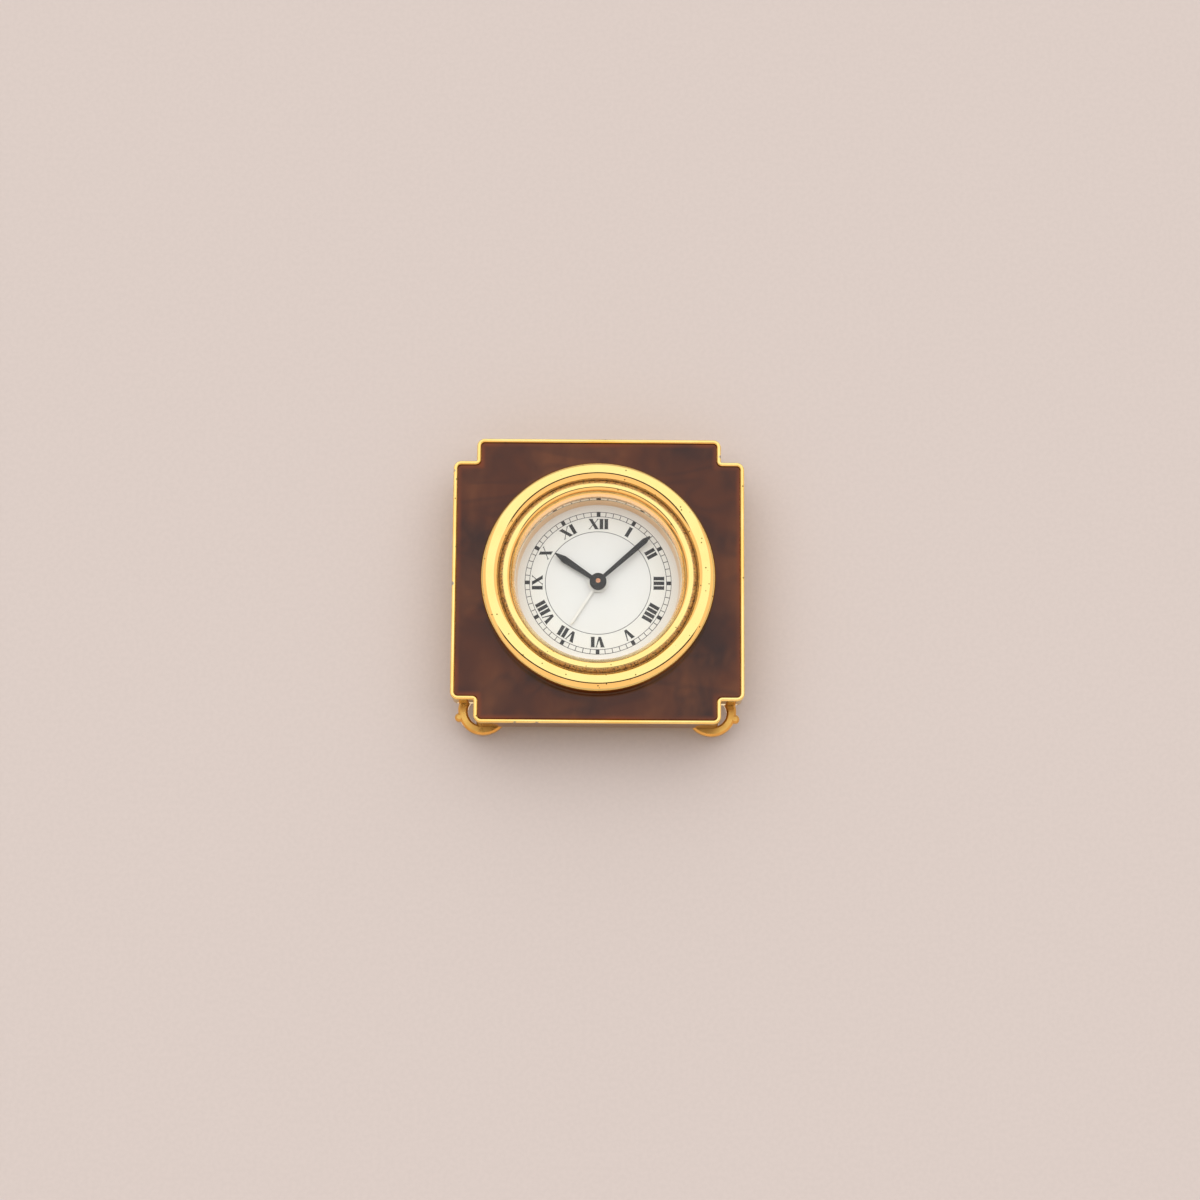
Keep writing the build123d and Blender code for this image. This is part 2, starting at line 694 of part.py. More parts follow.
def make_train_bridge():
    """Rear plate of the movement, with the battery's hole and the posts of the stator."""
    body = disc(bridge_radius, bridge_bottom, bridge_top)
    body -= disc(BATTERY_RADIUS + SLIP / 2, bridge_bottom - OVERRUN, bridge_top + OVERRUN, battery_place)
    body -= pivot_hole(centre, ARBOR_RADIUS, bridge_bottom, bridge_top)
    for axis in (minute_axis, third_axis, fourth_axis, intermediate_axis, rotor_axis):
        body -= pivot_hole(axis, PIVOT_RADIUS, bridge_bottom, bridge_top)
    for axis in (time_axis, alarm_axis):
        body -= pivot_hole(axis, STEM_RADIUS, bridge_bottom, bridge_top)
    for place in pillar_places():
        body -= bridge_screw(place)
    for place in coil_screw_places():
        post = disc(STATOR_BOSS_RADIUS, bridge_top, level_third, place)
        body += by_coil(post - disc(COIL_SCREW_RADIUS, bridge_top, level_third + OVERRUN, place))
    return body


def bridge_screw(place):
    """One screw from the bridge into a pillar."""
    return sunk_screw(place, bridge_bottom, SCREW_RADIUS, SCREW_HEAD_RADIUS, SCREW_HEAD_HEIGHT, SCREW_LENGTH)


def make_plate_pillars():
    """Pillars that hold the two plates apart, drilled for the bridge screws."""
    bodies = []
    for place in pillar_places():
        bore = disc(SCREW_RADIUS, bridge_bottom, bridge_bottom + SCREW_LENGTH, place)
        bodies.append(disc(PILLAR_RADIUS, bridge_top, main_bottom, place) - bore)
    return group(bodies)


def make_bridge_screws():
    """Slotted screws under the bridge."""
    return group([
        bridge_screw(place) - driver_slot(place, bridge_bottom, SCREW_HEAD_RADIUS, SCREW_HEAD_HEIGHT)
        for place in pillar_places()])


# Motor and electrics


def by_coil(body):
    """Turns a body drawn beside +X to the side where the coil lies."""
    return Rot(0, 0, minute_wheel_turn) * body


def coil_screw_places():
    """Where the coil's pads are screwed down, before the turn to the coil's side."""
    middle = pad_end - PAD_LENGTH / 2
    return [(coil_distance, -middle), (coil_distance, middle)]


def make_coil_core():
    """Soft iron core whose two ends lie on the stator."""
    half = COIL_CORE_WIDTH / 2
    body = block(coil_distance - half, coil_distance + half, -pad_end, pad_end, stator_top, core_top)
    for place in coil_screw_places():
        body -= disc(COIL_SCREW_RADIUS, stator_top - OVERRUN, core_top + OVERRUN, place)
    return by_coil(body)


def make_coil_winding():
    """Winding round the core, as one closed sleeve."""
    half = COIL_CORE_WIDTH / 2
    sleeve = Pos(coil_distance, 0, coil_axis_height) * (Rot(90, 0, 0) * Cylinder(coil_radius, COIL_LENGTH))
    core = block(coil_distance - half, coil_distance + half, -pad_end, pad_end, stator_top, core_top)
    return by_coil(sleeve - core)


def make_coil_screws():
    """Small cheese-head screws through the core and the stator into the bridge's posts."""
    bodies = []
    for place in coil_screw_places():
        shank = disc(COIL_SCREW_RADIUS, bridge_top, core_top, place)
        head = disc(COIL_SCREW_HEAD, core_top, core_top + COIL_CORE, place)
        bodies.append(by_coil(shank + head))
    return group(bodies)


def make_stator():
    """Flat stator: two end pads, the bar that joins them and the eye round the rotor."""
    half = COIL_CORE_WIDTH / 2
    bar_out = coil_distance - coil_radius - AXIAL_GAP
    bar_in = bar_out - STATOR_WIDTH
    eye = MAGNET_RADIUS + STATOR_AIR_GAP
    turn = math.radians(minute_wheel_turn)
    along = rotor_axis[0] * math.cos(turn) + rotor_axis[1] * math.sin(turn)
    across = rotor_axis[1] * math.cos(turn) - rotor_axis[0] * math.sin(turn)
    body = block(bar_in, bar_out, -pad_end, pad_end, level_third, stator_top)
    for y_from in (-pad_end, pad_end - PAD_LENGTH):
        body += block(bar_in, coil_distance + half, y_from, y_from + PAD_LENGTH, level_third, stator_top)
    body += disc(eye + STATOR_EYE_WALL, level_third, stator_top, (along, across))
    body += block(along, bar_out, pad_end - PAD_LENGTH, pad_end, level_third, stator_top)
    body -= disc(eye, level_third - OVERRUN, stator_top + OVERRUN, (along, across))
    for place in coil_screw_places():
        body -= disc(COIL_SCREW_RADIUS, level_third - OVERRUN, stator_top + OVERRUN, place)
    return by_coil(body)


def on_board(body):
    """Turns a body drawn beside +X to the side where the circuit board lies."""
    return Rot(0, 0, BOARD_TURN) * body


board_out = bridge_radius - SLIP - BOARD_OFFSET
board_in = board_out - BOARD_DEPTH
board_top = bridge_top + BOARD
board_low = BOARD_OFFSET - BOARD_LENGTH / 2
board_high = BOARD_OFFSET + BOARD_LENGTH / 2


def make_circuit_board():
    """Small board on the bridge, beside the battery."""
    return on_board(block(board_in, board_out, board_low, board_high, bridge_top, board_top))


def make_control_chip():
    """Moulded chip on the board."""
    middle = board_in + BOARD_DEPTH * CHIP_PLACE_SHARE
    half = CHIP_SIZE / 2
    body = block(middle - half, middle + half, BOARD_OFFSET - half, BOARD_OFFSET + half,
                 board_top, board_top + CHIP_HEIGHT)
    return on_board(body)


def make_quartz_can():
    """Sealed crystal can lying on the board."""
    middle = board_out - BOARD_DEPTH * CAN_PLACE_SHARE
    body = Rot(90, 0, 0) * Cylinder(CAN_RADIUS, CAN_LENGTH)
    return on_board(Pos(middle, BOARD_OFFSET, board_top + CAN_RADIUS) * body)


def make_sounder_choke():
    """Wound drum that drives the sounder."""
    place = on_ray(centre, CHOKE_TURN, bridge_radius - SLIP - CHOKE_RADIUS)
    top = bridge_top + CHOKE_HEIGHT
    groove = tube(CHOKE_RADIUS + OVERRUN, CHOKE_RADIUS - CHOKE_WAIST,
                  bridge_top + CHOKE_FLANGE, top - CHOKE_FLANGE, place)
    return disc(CHOKE_RADIUS, bridge_top, top, place) - groove


def make_buzzer_disc():
    """Sounder disc on the inside of the rear cover's floor."""
    return disc(BUZZER_RADIUS, floor_top, floor_top + BUZZER, (0, BUZZER_OFFSET))


def make_battery():
    """Button cell with its raised cap towards the main plate."""
    shoulder = bridge_bottom + BATTERY_HEIGHT - BATTERY_CAP
    body = disc(BATTERY_RADIUS, bridge_bottom, shoulder, battery_place)
    return body + disc(BATTERY_CAP_RADIUS, shoulder, bridge_bottom + BATTERY_HEIGHT, battery_place)


def make_battery_contact_cap():
    """Stepped spring strip from the main plate down to the cell's cap."""
    half = CONTACT_WIDTH / 2
    cell_top = bridge_bottom + BATTERY_HEIGHT
    x_free = -CONTACT_FOOT / 2
    x_bend = x_free + CONTACT_REACH
    y_from = battery_place[1] - half
    y_to = battery_place[1] + half
    body = block(x_free, x_bend, y_from, y_to, cell_top, cell_top + CONTACT)
    body += block(x_bend - CONTACT, x_bend, y_from, y_to, cell_top, main_bottom)
    body += block(x_bend - CONTACT, x_bend + CONTACT_FOOT, y_from, y_to, main_bottom - CONTACT, main_bottom)
    return body


def make_battery_contact_side():
    """Upright strip on the bridge that bears on the cell's side."""
    half = CONTACT_WIDTH / 2
    x_to = -BATTERY_RADIUS - SLIP / 2
    y_from = battery_place[1] - half
    y_to = battery_place[1] + half
    body = block(x_to - CONTACT, x_to, y_from, y_to, bridge_top, bridge_bottom + BATTERY_HEIGHT - BATTERY_CAP)
    return body + block(x_to - CONTACT_FOOT, x_to, y_from, y_to, bridge_top, bridge_top + CONTACT)


def make_alarm_contact():
    """Leaf spring under the main plate, just clear of the alarm wheel's rim."""
    near = tip_radius(ALARM_TEETH, HOUR_MODULE) + AXIAL_GAP
    half = ALARM_CONTACT_LENGTH / 2
    leaf = block(near, near + CONTACT, -half, half, main_bottom - ALARM_CONTACT_HEIGHT, main_bottom)
    foot = block(near, near + CONTACT_FOOT, half - CONTACT_FOOT, half, main_bottom - CONTACT, main_bottom)
    return Rot(0, 0, ALARM_CONTACT_TURN) * (leaf + foot)


# Going train


def make_centre_wheel():
    """Centre wheel with its friction tube, loose on the minute arbor."""
    hub_radius = ARBOR_RADIUS + RUNNING + HOUR_TUBE_WALL
    body = wheel(CENTRE_TEETH, CENTRE_MODULE, level_centre, TRAIN_WHEEL, 0, centre)
    body += disc(hub_radius, level_centre, level_third, centre)
    return body - pivot_hole(centre, ARBOR_RADIUS, level_centre, level_third)


def make_third_wheel():
    """Third wheel with the pinion that drives the centre wheel."""
    turn = meshing_turn(CENTRE_TEETH, 0, THIRD_PINION_TEETH, THIRD_TURN)
    body = wheel(THIRD_TEETH, TRAIN_MODULE, level_third, TRAIN_WHEEL, 0, third_axis)
    body += gear(THIRD_PINION_TEETH, CENTRE_MODULE, level_centre,
                 level_third - level_centre, turn, third_axis)
    return body + arbor(third_axis)


def make_fourth_wheel():
    """Fourth wheel with the pinion that drives the third wheel."""
    turn = meshing_turn(THIRD_TEETH, 0, FOURTH_PINION_TEETH, FOURTH_TURN)
    body = wheel(FOURTH_TEETH, TRAIN_MODULE, level_centre, TRAIN_WHEEL, 0, fourth_axis)
    body += gear(FOURTH_PINION_TEETH, TRAIN_MODULE, level_centre + TRAIN_WHEEL,
                 level_third - level_centre, turn, fourth_axis)
    return body + arbor(fourth_axis)


def make_intermediate_wheel():
    """Intermediate wheel with the pinion that drives the fourth wheel."""
    turn = meshing_turn(FOURTH_TEETH, 0, INTERMEDIATE_PINION_TEETH, INTERMEDIATE_TURN)
    body = wheel(INTERMEDIATE_TEETH, TRAIN_MODULE, level_minute, TRAIN_WHEEL, 0, intermediate_axis)
    body += gear(INTERMEDIATE_PINION_TEETH, TRAIN_MODULE, level_centre,
                 level_minute - level_centre, turn, intermediate_axis)
    return body + arbor(intermediate_axis)


def make_rotor_pinion():
    """Rotor arbor with the pinion that drives the intermediate wheel."""
    turn = meshing_turn(INTERMEDIATE_TEETH, 0, ROTOR_PINION_TEETH, ROTOR_TURN)
    body = gear(ROTOR_PINION_TEETH, TRAIN_MODULE, stator_top, level_hour - stator_top, turn, rotor_axis)
    return body + arbor(rotor_axis)


def make_rotor_magnet():
    """Round magnet on the rotor arbor, in the stator's eye."""
    return tube(MAGNET_RADIUS, PIVOT_RADIUS, level_centre, stator_top, rotor_axis)


# Motion work


minute_wheel_phase = meshing_turn(CANNON_TEETH, 0, MINUTE_TEETH, minute_wheel_turn)


def make_cannon_pinion():
    """Minute arbor with the pinion that drives the minute wheel."""
    body = gear(CANNON_TEETH, MINUTE_MODULE, level_minute, MOTION_WHEEL, 0, centre)
    return body + disc(ARBOR_RADIUS, bridge_bottom + PIVOT_END, arbor_top)


def make_minute_wheel():
    """Minute wheel with the pinion that drives the hour wheel."""
    body = wheel(MINUTE_TEETH, MINUTE_MODULE, level_minute, MOTION_WHEEL, minute_wheel_phase, minute_axis)
    body += gear(MINUTE_PINION_TEETH, HOUR_MODULE, level_minute + MOTION_WHEEL,
                 level_hour - level_minute, 0, minute_axis)
    return body + arbor(minute_axis)


def make_hour_wheel():
    """Hour wheel with the tube that carries the hour hand."""
    turn = meshing_turn(MINUTE_PINION_TEETH, 0, HOUR_TEETH, minute_wheel_turn + 180.0)
    body = wheel(HOUR_TEETH, HOUR_MODULE, level_hour, MOTION_WHEEL, turn, centre)
    body += disc(hour_tube_radius, level_hour, hour_hand_top)
    return body - disc(hour_tube_bore, level_hour - OVERRUN, hour_hand_top + OVERRUN)


def make_alarm_wheel():
    """Alarm wheel with the tube that carries the alarm hand."""
    body = wheel(ALARM_TEETH, HOUR_MODULE, level_alarm, MOTION_WHEEL, 0, centre)
    body += disc(alarm_tube_radius, level_alarm, alarm_hand_top)
    return body - disc(alarm_tube_bore, level_alarm - OVERRUN, alarm_hand_top + OVERRUN)


def make_time_setting_pinion():
    """Pinion on the time knob's stem, in mesh with the minute wheel."""
    line_turn = turn_to(minute_axis, time_axis)
    turn = meshing_turn(MINUTE_TEETH, minute_wheel_phase, TIME_PINION_TEETH, line_turn)
    body = gear(TIME_PINION_TEETH, MINUTE_MODULE, level_minute, MOTION_WHEEL, turn, time_axis)
    return body - disc(STEM_RADIUS, level_minute - OVERRUN, level_hour, time_axis)


def make_alarm_setting_pinion():
    """Pinion on the alarm knob's stem, in mesh with the alarm wheel."""
    turn = meshing_turn(ALARM_TEETH, 0, ALARM_PINION_TEETH, ALARM_KNOB_TURN)
    body = gear(ALARM_PINION_TEETH, HOUR_MODULE, level_alarm, MOTION_WHEEL, turn, alarm_axis)
    return body - disc(STEM_RADIUS, level_alarm - OVERRUN, main_bottom, alarm_axis)


def make_knob(axis, pinion_top):
    """Fluted knob in the rear well, on a stem that reaches its pinion and a pivot in the main plate."""
    top = floor_bottom - AXIAL_GAP
    face = Circle(KNOB_RADIUS)
    for flute in range(KNOB_FLUTES):
        x, y = on_ray(centre, flute * 360.0 / KNOB_FLUTES, KNOB_RADIUS)
        face -= Pos(x, y) * Circle(FLUTE_RADIUS)
    body = Pos(axis[0], axis[1], 0) * slab(face, KNOB_SET_BACK, top)
    body += disc(STEM_RADIUS, top, pinion_top, axis)
    return body + disc(PIVOT_RADIUS, pinion_top, dial_bottom - PIVOT_END, axis)


def make_time_knob():
    """Knob that sets the hands."""
    return make_knob(time_axis, level_minute + MOTION_WHEEL)


def make_alarm_knob():
    """Knob that sets the alarm hand."""
    return make_knob(alarm_axis, level_alarm + MOTION_WHEEL)


# Hands


def hand_face(length, root, width, shoulder_share, hub):
    """A baton that widens towards a pointed tip, joined to a round hub, along +Y."""
    shoulder = length * shoulder_share
    outline = Polyline((-root / 2, 0), (root / 2, 0), (width / 2, shoulder), (0, length),
                       (-width / 2, shoulder), close=True)
    return make_face(outline) + Circle(hub)


def make_minute_hand():
    """Minute hand with its raised hub, pressed on the arbor."""
    face = hand_face(MINUTE_HAND_LENGTH, MINUTE_HAND_ROOT, MINUTE_HAND_WIDTH, MINUTE_SHOULDER_SHARE,
                     HAND_HUB_RADIUS)
    body = slab(face, minute_hand_bottom, minute_hand_bottom + HAND_THICKNESS)
    body += disc(HAND_HUB_RADIUS, minute_hand_bottom, minute_hub_top)
    body -= disc(ARBOR_RADIUS, minute_hand_bottom - OVERRUN, arbor_top)
    return Rot(0, 0, -MINUTE_HAND_TURN) * body


def make_hour_hand():
    """Hour hand, pressed on the hour wheel's tube."""
    face = hand_face(HOUR_HAND_LENGTH, HOUR_HAND_ROOT, HOUR_HAND_WIDTH, HOUR_SHOULDER_SHARE, HAND_HUB_RADIUS)
    body = slab(face, hour_hand_bottom, hour_hand_top)
    body -= disc(hour_tube_radius, hour_hand_bottom - OVERRUN, hour_hand_top + OVERRUN)
    return Rot(0, 0, -HOUR_HAND_TURN) * body


def make_alarm_hand():
    """Thin alarm hand, pressed on the alarm wheel's tube."""
    face = hand_face(ALARM_HAND_LENGTH, ALARM_HAND_WIDTH, ALARM_HAND_WIDTH, ALARM_SHOULDER_SHARE,
                     ALARM_HUB_RADIUS)
    body = slab(face, alarm_hand_bottom, alarm_hand_top)
    body -= disc(alarm_tube_radius, alarm_hand_bottom - OVERRUN, alarm_hand_top + OVERRUN)
    return Rot(0, 0, -ALARM_HAND_TURN) * body


# Alarm slide and battery hatch


def make_alarm_slide():
    """Ribbed on/off slide at the off end of its slot, with its plate behind the cover's floor."""
    middle = -SLIDE_TRAVEL / 2
    top = floor_bottom - AXIAL_GAP
    button = block(middle - SLIDE_LENGTH / 2, middle + SLIDE_LENGTH / 2,
                   SLIDE_OFFSET - SLIDE_WIDTH / 2, SLIDE_OFFSET + SLIDE_WIDTH / 2, SLIDE_SET_BACK, top)
    button = fillet(button.edges().filter_by(Axis.Z), SLIDE_EDGE)
    for rib in range(SLIDE_RIBS):
        x = middle + (rib - (SLIDE_RIBS - 1) / 2) * SLIDE_LENGTH / (SLIDE_RIBS + 1)
        button -= block(x - SLIDE_RIB / 2, x + SLIDE_RIB / 2, SLIDE_OFFSET - SLIDE_WIDTH,
                        SLIDE_OFFSET + SLIDE_WIDTH, SLIDE_SET_BACK - OVERRUN, SLIDE_SET_BACK + SLIDE_RIB)
    inner_end = bridge_bottom - SLIDE_ROOM
    neck = block(middle - SLIDE_NECK_LENGTH / 2, middle + SLIDE_NECK_LENGTH / 2,
                 SLIDE_OFFSET - SLIDE_NECK_WIDTH / 2, SLIDE_OFFSET + SLIDE_NECK_WIDTH / 2, top, inner_end)
    plate = block(middle - SLIDE_LENGTH / 2, middle + SLIDE_LENGTH / 2,
                  SLIDE_OFFSET - SLIDE_WIDTH / 2, SLIDE_OFFSET + SLIDE_WIDTH / 2,
                  inner_end - SLIDE_PLATE, inner_end)
    return button + neck + plate


def hatch_outline(turn, room, bottom, top):
    """The hatch's plug and its two bayonet lugs, drawn out by a room."""
    body = disc(HATCH_PLUG_RADIUS + room, bottom, top)
    reach = HATCH_PLUG_RADIUS + HATCH_LUG + room
    half = HATCH_LUG_WIDTH / 2 + room
    lugs = block(-reach, reach, -half, half, bottom, top) & disc(reach, bottom, top)
    return Pos(battery_place[0], battery_place[1], 0) * (Rot(0, 0, turn) * (body + lugs))


def make_battery_hatch():
    """Round hatch with a coin slot, locked by two lugs behind the cover's floor."""
    cap_top = floor_bottom - HATCH_GASKET
    lug_bottom = floor_top + (COVER_HEADROOM - HATCH_LUG_HEIGHT) / 2
    body = disc(HATCH_PLUG_RADIUS + HATCH_RIM, HATCH_SET_BACK, cap_top, battery_place)
    body += disc(HATCH_PLUG_RADIUS, cap_top, lug_bottom, battery_place)
    body += hatch_outline(0, 0, lug_bottom, lug_bottom + HATCH_LUG_HEIGHT)
    depth = (cap_top - HATCH_SET_BACK) * COIN_SLOT_DEPTH_SHARE
    slot = block(-COIN_SLOT_LENGTH / 2, COIN_SLOT_LENGTH / 2, -COIN_SLOT_WIDTH / 2, COIN_SLOT_WIDTH / 2,
                 HATCH_SET_BACK - OVERRUN, HATCH_SET_BACK + depth)
    return body - Pos(battery_place[0], battery_place[1], 0) * slot


def make_hatch_gasket():
    """Flat gasket round the hatch's plug, between its cap and the cover's floor."""
    return tube(HATCH_PLUG_RADIUS + HATCH_GASKET_WIDTH, HATCH_PLUG_RADIUS, floor_bottom - HATCH_GASKET,
                floor_bottom, battery_place)


# Stand


def make_stand_bail():
    """Flat swinging frame round the rear cover, with a ring foot and a round toe at each lower corner."""
    face = Sketch()
    crossbar = foot_y + CROSSBAR_RAISE
    face += Pos(0, crossbar) * Rectangle(2 * foot_x, CROSSBAR_WIDTH)
    for side in (-1, 1):
        arm_x = side * (arm_inside + arm_outside) / 2
        face += Pos(arm_x, (PIVOT_HEIGHT + foot_y) / 2) * Rectangle(ARM_WIDTH, PIVOT_HEIGHT - foot_y)
        face += Pos(side * foot_x, foot_y) * Circle(FOOT_RADIUS)
        toe = on_ray((foot_x, foot_y), -TOE_TURN, FOOT_RADIUS)
        face += Pos(side * toe[0], toe[1]) * Circle(TOE_RADIUS)
    for side in (-1, 1):
        face -= Pos(side * (foot_x + FOOT_EYE_SHIFT), foot_y - FOOT_EYE_SHIFT) * Circle(FOOT_EYE_RADIUS)
    body = slab(face, bail_bottom, bail_top)
    flat_edges = body.faces().sort_by(Axis.Z)[0].edges() + body.faces().sort_by(Axis.Z)[-1].edges()
    body = chamfer(flat_edges, min(BAIL_EDGE, BAIL_THICKNESS * ROUND_LIMIT_SHARE))
    for side in (-1, 1):
        middle = side * (arm_inside + arm_outside) / 2
        body += along_x(BAIL_THICKNESS / 2, middle - ARM_WIDTH / 2, middle + ARM_WIDTH / 2)
        body -= along_x(PIN_RADIUS + RUNNING, middle - ARM_WIDTH, middle + ARM_WIDTH)
    return body


def along_x(radius, x_from, x_to):
    """A round bar on the stand's hinge line."""
    bar = Rot(0, 90, 0) * Cylinder(radius, x_to - x_from)
    return Pos((x_from + x_to) / 2, PIVOT_HEIGHT, hinge_z) * bar


def make_stand_lugs():
    """Lugs on the back plate that hold the stand's pivot pins."""
    lug = block(lug_inside, lug_outside, PIVOT_HEIGHT - LUG_HALF_HEIGHT, PIVOT_HEIGHT + LUG_HALF_HEIGHT,
                bail_bottom - LUG_DROP, back)
    lug -= along_x(PIN_RADIUS, lug_inside - OVERRUN, lug_outside + OVERRUN)
    return both_sides(lug)


def make_stand_pins():
    """Headed pivot pins, pressed into the lugs."""
    head_out = arm_inside - PIN_HEAD_GAP
    pin = along_x(PIN_HEAD_RADIUS, head_out - PIN_HEAD, head_out) + along_x(PIN_RADIUS, head_out, lug_outside)
    return both_sides(pin)


def make_stand_washers():
    """Friction washers between the stand's arms and the lugs."""
    washer = along_x(WASHER_RADIUS, arm_outside, lug_inside)
    return both_sides(washer - along_x(PIN_RADIUS, arm_outside - OVERRUN, lug_inside + OVERRUN))


NODES = {
    "case_frame": make_case_frame,
    "lacquer_panel": make_lacquer_panel,
    "bezel_ring": make_bezel_ring,
    "bezel_nut": make_bezel_nut,
    "crystal": make_crystal,
    "crystal_gasket": make_crystal_gasket,
    "rehaut_ring": make_rehaut_ring,
    "dial": make_dial,
    "holder_ring": make_holder_ring,
    "back_plate": make_back_plate,
    "back_plate_screws": make_back_plate_screws,
    "rear_cover": make_rear_cover,
    "rear_cover_screws": make_rear_cover_screws,
    "main_plate": make_main_plate,
    "train_bridge": make_train_bridge,
    "plate_pillars": make_plate_pillars,
    "bridge_screws": make_bridge_screws,
    "coil_core": make_coil_core,
    "coil_winding": make_coil_winding,
    "coil_screws": make_coil_screws,
    "stator": make_stator,
    "circuit_board": make_circuit_board,
    "control_chip": make_control_chip,
    "quartz_can": make_quartz_can,
    "sounder_choke": make_sounder_choke,
    "buzzer_disc": make_buzzer_disc,
    "battery": make_battery,
    "battery_contact_cap": make_battery_contact_cap,
    "battery_contact_side": make_battery_contact_side,
    "alarm_contact": make_alarm_contact,
    "centre_wheel": make_centre_wheel,
    "third_wheel": make_third_wheel,
    "fourth_wheel": make_fourth_wheel,
    "intermediate_wheel": make_intermediate_wheel,
    "rotor_pinion": make_rotor_pinion,
    "rotor_magnet": make_rotor_magnet,
    "cannon_pinion": make_cannon_pinion,
    "minute_wheel": make_minute_wheel,
    "hour_wheel": make_hour_wheel,
    "alarm_wheel": make_alarm_wheel,
    "time_setting_pinion": make_time_setting_pinion,
    "alarm_setting_pinion": make_alarm_setting_pinion,
    "minute_hand": make_minute_hand,
    "hour_hand": make_hour_hand,
    "alarm_hand": make_alarm_hand,
    "time_knob": make_time_knob,
    "alarm_knob": make_alarm_knob,
    "alarm_slide": make_alarm_slide,
    "battery_hatch": make_battery_hatch,
    "hatch_gasket": make_hatch_gasket,
    "stand_bail": make_stand_bail,
    "stand_lugs": make_stand_lugs,
    "stand_pins": make_stand_pins,
    "stand_washers": make_stand_washers,
}


def main():
    """Makes every node and writes it to its own file."""
    os.makedirs("parts", exist_ok=True)
    for name, make in NODES.items():
        export_step(make(), f"parts/{name}.step")


if __name__ == "__main__":
    main()
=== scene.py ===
"""Looks of a square desk alarm clock with stepped corners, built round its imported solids.

The clock lies on its back: +Z leaves the dial and +Y points at twelve. The classes hold
their sizes in millimetres, and the meshes are written in metres.
"""

import json
import logging
import math
from collections.abc import Iterable, Sequence
from dataclasses import dataclass, field
from enum import Enum

import bmesh
import bpy
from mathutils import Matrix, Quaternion, Vector

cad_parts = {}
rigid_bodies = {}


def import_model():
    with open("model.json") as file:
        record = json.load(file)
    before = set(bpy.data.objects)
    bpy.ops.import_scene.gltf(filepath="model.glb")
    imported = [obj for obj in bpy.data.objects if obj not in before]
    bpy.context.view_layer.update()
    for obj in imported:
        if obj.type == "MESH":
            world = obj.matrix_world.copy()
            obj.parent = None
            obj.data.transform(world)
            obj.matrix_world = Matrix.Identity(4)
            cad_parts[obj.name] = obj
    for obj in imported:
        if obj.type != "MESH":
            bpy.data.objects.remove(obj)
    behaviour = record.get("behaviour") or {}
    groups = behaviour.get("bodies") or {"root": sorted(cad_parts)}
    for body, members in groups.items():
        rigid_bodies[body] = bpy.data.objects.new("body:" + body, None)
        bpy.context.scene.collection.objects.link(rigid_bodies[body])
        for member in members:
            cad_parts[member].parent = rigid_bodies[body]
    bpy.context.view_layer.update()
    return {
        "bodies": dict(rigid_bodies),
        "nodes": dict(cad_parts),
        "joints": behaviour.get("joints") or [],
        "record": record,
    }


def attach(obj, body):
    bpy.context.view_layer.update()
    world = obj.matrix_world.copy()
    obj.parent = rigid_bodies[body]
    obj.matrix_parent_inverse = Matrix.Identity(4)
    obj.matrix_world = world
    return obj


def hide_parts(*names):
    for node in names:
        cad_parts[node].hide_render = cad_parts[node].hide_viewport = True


MM = 0.001
# In millimetres: points closer than WELD merge, and an edge is level if its ends differ by less than LEVEL.
WELD = 1e-5
LEVEL = 1e-6
# In degrees: the angle past which an edge stays sharp, and past which a plate's edge is softened.
CREASE = 35.0
CORNER = 50.0
# Share of a speck's radius that is fully coloured, and noise values between which colour and gloss change.
SPECK_CORE = 0.6
MOTTLE = (0.32, 0.68)
SMUDGE = (0.3, 0.7)
Point = tuple[float, float]
Triple = tuple[float, float, float]
Colour = Triple
Polygon = list[Point]
Strokes = tuple[list[Polygon], float]
Socket = bpy.types.NodeSocket
Piece = bpy.types.Object
BMesh = bmesh.types.BMesh
log = logging.getLogger("desk_clock")


class Body(Enum):
    """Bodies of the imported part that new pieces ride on."""

    CASE = "case"
    HATCH = "hatch"
    SLIDE = "slide"
    TIME_SETTER = "time_setter"
    ALARM_SETTER = "alarm_setter"
    MINUTE = "minute_set"
    HOUR = "hour_set"
    ALARM = "alarm_set"


class Slot(Enum):
    """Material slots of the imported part."""

    FRAME = "gilt_frame"
    BEZEL = "gilt_bezel"
    STAND = "gilt_stand"
    BACK = "gilt_back"
    LACQUER = "lacquer"
    CRYSTAL = "crystal"
    SEAL = "seal"
    DIAL = "dial_white"
    HAND = "hand_black"
    PALE_HAND = "hand_pale"
    ARBOR = "copper_arbor"
    BRASS = "plate_brass"
    STEEL = "steel"
    IRON = "soft_iron"
    WIRE = "copper_wire"
    HOLDER = "holder_plastic"
    WHEEL = "wheel_plastic"
    SLIDE = "slide_black"
    BOARD = "board_green"
    CHIP = "chip_black"
    CAN = "bright_can"
    MAGNET = "magnet"


